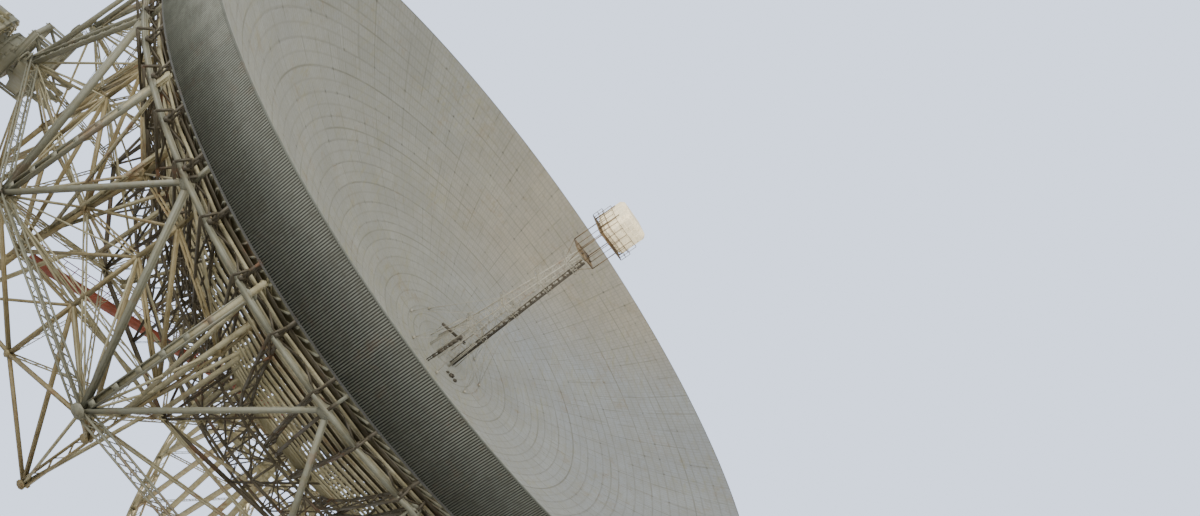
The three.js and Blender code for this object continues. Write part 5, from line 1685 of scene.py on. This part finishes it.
# %% Housings
HOUSING_FACES = (4.17, 4.83)
AXIS_Z = AXIS.z
works = Works()
for side in (-1, 1):
    for face, outward in zip(HOUSING_FACES, (-1, 1)):
        centre, normal = Vector((side * face, 0, AXIS_Z)), Vector((side * outward, 0, 0))
        bolt_ring(works, centre, normal, 0.17, 20, 0.014, 0.008)
        bolt_ring(works, centre, normal, 0.235, 16, 0.018, 0.010)
        for radius in (0.145, 0.205):
            arc(works, centre, radius, 0.012, 0.014)
        for y in (-0.30, 0.30):
            foot, head = centre + Vector((0, y, -0.29)), centre + Vector((0, y * 0.86, -0.05))
            works.member(BAR, foot, head, 0.02, 0.014, side=normal)
    for y in (-0.262, 0.262):
        for x in (4.26, 4.42, 4.58, 4.74):
            foot = Vector((side * x, y, AXIS_Z - 0.24))
            works.member(BAR, foot, raised(foot, 0.22), 0.016, 0.02, side=Y)
        for z in (AXIS_Z - 0.03, AXIS_Z + 0.03):
            works.member(BAR, (side * 4.19, y, z), (side * 4.81, y, z), 0.02, 0.03, side=Y)
        first, last = (Vector((side * x, y * 1.01, AXIS_Z + 0.045)) for x in (4.22, 4.78))
        bolt_row(works, first, last, UP, 9, 0.018, 0.03)
    for y in (-0.325, 0.325):
        bolt_row(works, (side * 4.22, y, 4.808), (side * 4.78, y, 4.808), UP, 8, 0.02, 0.014)
    for x in (4.22, 4.5, 4.78):
        arc(works, Vector((side * x, 0, AXIS_Z)), 0.262, 0.016, 0.012, start=2, step=25, count=7)
    works.member(FLANGED, (side * 4.705, 0, AXIS_Z), (side * 4.88, 0, AXIS_Z), 0.17, 0.17)
works.build("housing_flanges", steel_paint, "alidade")

# %% Railings, gratings and flights
works = Works()
DECK_LEVELS = TOWER_LEVELS[1:-1]
DECK_IN = 4.27

def railing(works, first, last, up=0.10, posts=0.2):
    first, last = Vector(first), Vector(last)
    for height in (up, up / 2):
        works.member(BAR, raised(first, height), raised(last, height), 0.005)
    count = max(2, round((last - first).length / posts) + 1)
    for i in range(count):
        foot = first.lerp(last, i / (count - 1))
        works.member(BAR, foot, raised(foot, up), 0.006, side=Y)

def grating(works, x0, x1, y0, y1, z):
    """A deck of bearing bars in a frame, seen through from below."""
    for y in (y0, y1):
        works.member(BAR, (x0, y, z), (x1, y, z), 0.016, 0.02)
    bars = max(3, round(abs(y1 - y0) / 0.03))
    for i in range(bars + 1):
        y = y0 + (y1 - y0) * i / bars
        works.member(BAR, (x0, y, z), (x1, y, z), 0.006, 0.012)
    for x in (x0, (x0 + x1) / 2, x1):
        works.member(BAR, (x, y0, z - 0.008), (x, y1, z - 0.008), 0.012, 0.016)

def flight(works, first, last, width):
    """A straight stair: two strings, its treads and a hand rail on each side."""
    first, last = Vector(first), Vector(last)
    across = Vector((width / 2, 0, 0))
    treads = max(4, round((last.z - first.z) / 0.025))
    for edge in (-across, across):
        works.member(BAR, first + edge, last + edge, 0.008, 0.02)
        for rise in (0.05, 0.09):
            ends = raised(first + edge, rise), raised(last + edge, rise)
            works.member(BAR, *ends, 0.004, side=X)
        for i in range(6):
            foot = first.lerp(last, i / 5) + edge
            works.member(BAR, foot, raised(foot, 0.09), 0.004, side=X)
    for i in range(treads):
        place = first.lerp(last, (i + 0.5) / treads)
        works.member(BAR, place - across, place + across, 0.004, 0.024, side=Y)

print("decks at", DECK_LEVELS)

# %% Decks and stairs in each tower
for side in (-1, 1):
    for z in DECK_LEVELS:
        half = tower_half(z) - 0.06
        deck_out = tower_out(z) - 0.08
        grating(works, side * DECK_IN, side * deck_out, -half, half, z + 0.05)
        for x in (DECK_IN, deck_out):
            railing(works, (side * x, -half, z + 0.06), (side * x, half, z + 0.06))
    for i, (low, high) in enumerate(zip(TOWER_LEVELS[:-2], TOWER_LEVELS[1:-1])):
        reach = min(tower_half(high) - 0.12, 0.62)
        middle = (low + high) / 2 + 0.05
        for k, (x, z0, z1) in enumerate(((4.38, low + 0.06, middle), (4.54, middle, high + 0.05))):
            way = 1 if (k % 2 == 0) else -1
            flight(works, (side * x, -way * reach, z0), (side * x, way * reach, z1), 0.12)
        grating(works, side * 4.31, side * 4.61, reach, reach + 0.12, middle)
        railing(works, (side * 4.31, reach + 0.12, middle), (side * 4.61, reach + 0.12, middle))
    top = TOWER_LEVELS[-2]
    for y in (-0.03, 0.03):
        works.member(BAR, (side * 4.4, y, top + 0.05), (side * 4.4, y, 4.72), 0.008, side=X)
    for i in range(18):
        z = top + 0.09 + 0.035 * i
        works.member(BAR, (side * 4.4, -0.03, z), (side * 4.4, 0.03, z), 0.005)
    for end in (-1, 1):
        grating(works, side * 4.25, side * 4.77, end * 0.37, end * 0.50, 4.745)
        railing(works, (side * 4.25, end * 0.50, 4.76), (side * 4.77, end * 0.50, 4.76))
        for x in (4.25, 4.77):
            railing(works, (side * x, end * 0.38, 4.76), (side * x, end * 0.50, 4.76), posts=0.12)
works.build("tower_stairs", bright_steel, "alidade")

# %% Plan bracing, walkway and cabins of the base
works = Works()
PLAN_BAYS = 16
plan_xs = np.linspace(-GIRDER_X + 0.06, GIRDER_X - 0.06, PLAN_BAYS + 1)
inner_y = GIRDER_Y - 0.03

def strut(x, z):
    works.member(PAIR, (x, -inner_y, z), (x, inner_y, z), 0.05, 0.03, bay=0.1)

for z, skip in ((GIRDER_LOW + 0.05, 0.25), (GIRDER_HIGH - 0.06, 0.85)):
    for x, following in zip(plan_xs, plan_xs[1:]):
        if abs(x) > skip:
            strut(x, z)
        if min(abs(x), abs(following)) > skip:
            for first, last in ((-inner_y, inner_y), (inner_y, -inner_y)):
                works.member(PAIR, (x, first, z), (following, last, z), 0.034, 0.02, bay=0.12)
strut(plan_xs[-1], GIRDER_LOW + 0.05)
for side in (-1, 1):
    grating(works, side * 1.05, side * 4.05, -0.12, 0.12, GIRDER_HIGH + 0.005)
    for y in (-0.12, 0.12):
        railing(works, (side * 1.05, y, GIRDER_HIGH), (side * 4.05, y, GIRDER_HIGH), 0.095, 0.25)
    for x in np.linspace(1.1, 4.0, 12):
        ends = ((side * x, y, GIRDER_HIGH - 0.012) for y in (-inner_y, inner_y))
        works.member(BAR, *ends, 0.02, 0.024)
    for y in (-0.30, 0.30):
        works.member(FLANGED, (side * 3.2, y - 0.001, 0.44), (side * 3.75, y, 0.44), 0.20, 0.16, side=Y)
        vents = ((side * x, y * 1.29, 0.40) for x in (3.22, 3.73))
        works.member(LADDER, *vents, 0.10, 0.004, bay=0.08, side=Y)
works.build("base_bracing", steel_paint, "alidade")

# %% [markdown]
# Bogies, cradle, pivot and track
# Each tower stands on two bogies, and each bogie has two wheels on either rail. Real bogies have axle
# boxes, a drive on one axle and a sweep at each end. The rail is held by clips on base plates. The
# pivot at the centre takes no weight; it only keeps the alidade from wandering.

# %% Wheels, axle boxes, drives and sweeps
RAIL_RADII, RAIL_TOP, WHEEL_R = (4.653, 5.349), 0.075, 0.09
WHEEL_Z, BEAM_MID, WHEEL_RUN, BOGIE_Y = RAIL_TOP + WHEEL_R + 0.001, 0.225, 0.23, 1.9
SWEEP_RUN, SWEEP_Z = 0.345, 0.085
works = Works()

def wheel_face(place, out, along):
    """One face of a wheel with its hub and bolts, and the axle box beside it."""
    inner, outer = place + out * 0.0165, place + out * 0.0235
    works.member(ROUND, inner, outer, 0.198, side=along)
    works.member(ROUND, outer, outer + out * 0.014, 0.09, side=along)
    bolt_ring(works, outer, out, 0.066, 8, 0.010, 0.006)
    box = place + out * 0.052
    works.member(FLANGED, box - out * 0.012, box + out * 0.022, 0.085, 0.075, side=along)
    works.member(ROUND, box + out * 0.02, box + out * 0.03, 0.05, side=along)
    bolt_ring(works, box + out * 0.022, out, 0.034, 6, 0.008, 0.006)

def drive(place, outward, along):
    """A gear box with an upright motor and its cooling fins."""
    works.member(FLANGED, place - outward * 0.02, place + outward * 0.05, 0.09, 0.12, side=along)
    works.member(ROUND, raised(place, 0.05), raised(place, 0.17), 0.06, side=outward)
    for i in range(5):
        z = 0.065 + 0.02 * i
        works.member(ROUND, raised(place, z), raised(place, z + 0.006), 0.068, side=outward)

def running_gear(middle, outward, along):
    """Two wheels in line, the sweeps and stiffeners of their beam, and one drive."""
    for run in (-WHEEL_RUN, WHEEL_RUN):
        wheel_middle = Vector((*(middle + along * run).xy, WHEEL_Z))
        for out in (-outward, outward):
            wheel_face(wheel_middle, out, along)
    for tip in (-along, along):
        nose = middle + tip * SWEEP_RUN
        sweep = Vector((*nose.xy, SWEEP_Z))
        works.member(BAR, nose, raised(nose, -0.135) + tip * 0.02, 0.012, 0.05, side=outward)
        works.member(BAR, sweep - outward * 0.03, sweep + outward * 0.03, 0.01, 0.03)
    for share in (-0.28, -0.14, 0.0, 0.14, 0.28):
        for out in (-outward, outward):
            foot = middle + along * share + out * 0.057
            works.member(BAR, raised(foot, -0.04), raised(foot, 0.04), 0.008, 0.010, side=outward)
    drive(middle + along * WHEEL_RUN + outward * 0.10, outward, along)

for side in (-1, 1):
    for end in (-1, 1):
        for x, radius in ((TOWER_IN, RAIL_RADII[0]), (TOWER_OUT_FOOT, RAIL_RADII[1])):
            heading = math.degrees(math.atan2(end * BOGIE_Y, side * x))
            running_gear(polar(radius, heading, BEAM_MID), polar(1, heading), polar(1, heading + 90))
works.build("bogie_wheels", dark_steel, "alidade", slot="dark_steel")

# %% Cradle, pivot and pintle
works = Works()
CRADLE_X, ROLLER_Y, ROLLER_R = 0.64, 0.26, 0.06
cradle_points = node_points("cradle")
ROLLER_Z = float(cradle_points[:, 2].max()) - ROLLER_R
for x in (-CRADLE_X, CRADLE_X):
    for y in (-ROLLER_Y, ROLLER_Y):
        for out in (Vector((-1, 0, 0)), Vector((1, 0, 0))):
            place = Vector((x, y, ROLLER_Z - 0.004)) + out * 0.061
            works.member(FLANGED, place - out * 0.008, place + out * 0.02, 0.07, 0.08)
            works.member(ROUND, place + out * 0.018, place + out * 0.03, 0.045)
            bolt_ring(works, place + out * 0.02, out, 0.03, 6, 0.007, 0.006)
            for step in (-0.035, 0.035):
                foot = Vector((x, y + step, 0.89)) + out * 0.063
                head = foot + Vector((0, -step * 0.4, ROLLER_Z - 0.93))
                works.member(BAR, foot, head, 0.008, 0.016, side=out)
    for y in np.linspace(-0.34, 0.34, 9):
        for web in (x - 0.064, x + 0.064):
            works.member(BAR, (web, y, 0.71), (web, y, 0.87), 0.008, 0.012, side=X)
    for y in (-0.36, 0.36):
        bolt_row(works, (x - 0.04, y, 0.88), (x + 0.04, y, 0.88), UP, 4, 0.012, 0.008)
works.build("cradle_fittings", dark_steel, "alidade", slot="dark_steel")

works = Works()
for i in range(12):
    turn = 30 * i + 15
    if abs(math.cos(math.radians(turn))) > 0.5:
        foot = polar(0.155, turn, 0.34)
        works.member(BAR, foot, raised(foot, 0.13), 0.008, 0.016, side=polar(1, turn))
bolt_ring(works, (0, 0, 0.48), UP, 0.12, 16, 0.014, 0.010)
bolt_ring(works, (0, 0, 0.48), UP, 0.085, 8, 0.010, 0.006)
for y in (-0.35, -0.25, 0.25, 0.35):
    for x in (-0.074, 0.074):
        works.member(BAR, (x, y, 0.335), (x, y, 0.395), 0.01, 0.012, side=X)
works.build("pivot_fittings", dark_steel, "alidade", slot="dark_steel")

works = Works()
hoop(works, 0.085, 0.266, 24, 0.05, 0.012)
bolt_ring(works, (0, 0, 0.272), UP, 0.092, 12, 0.014, 0.012)
for i in range(16):
    turn = 22.5 * i
    works.member(BAR, polar(0.324, turn, 0.0), polar(0.324, turn, 0.05), 0.05, 0.012, side=polar(1, turn))
works.build("pintle_fittings", dark_steel, "base", slot="dark_steel")

# %% Rail clips, fish plates and kerbs of the track
works = Works()
CLIPS = 150
for radius in RAIL_RADII:
    for i in range(CLIPS):
        turn = 360 * i / CLIPS
        outward, along = polar(1, turn), polar(1, turn + 90)
        middle = polar(radius, turn, 0.052)
        works.member(BAR, middle - outward * 0.040, middle + outward * 0.040, 0.028, 0.006)
        for out in (-outward, outward):
            place = middle + out * 0.026
            works.member(BAR, place - out * 0.010, raised(place + out * 0.008, 0.002), 0.016, 0.012)
            works.member(BOLT, raised(place, 0.004), raised(place, 0.013), 0.009, side=along)
    for i in range(18):
        turn = 20 * i + 1
        for face in (-1, 1):
            first, last = (polar(radius + face * 0.017, turn + step, 0.064) for step in (-0.6, 0.6))
            works.member(BAR, first, last, 0.010, 0.005, side=polar(1, turn))
for i in range(72):
    turn = 5 * i
    works.member(BAR, polar(4.535, turn, 0.0502), polar(5.465, turn, 0.0502), 0.006, 0.003)
works.build("rail_fittings", dark_steel, "base", slot="dark_steel")

# %% Measure the sizes, and finish
final_low, final_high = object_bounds()
boxes = {"cad": [list(cad_low), list(cad_high)], "visual": [list(final_low), list(final_high)]}
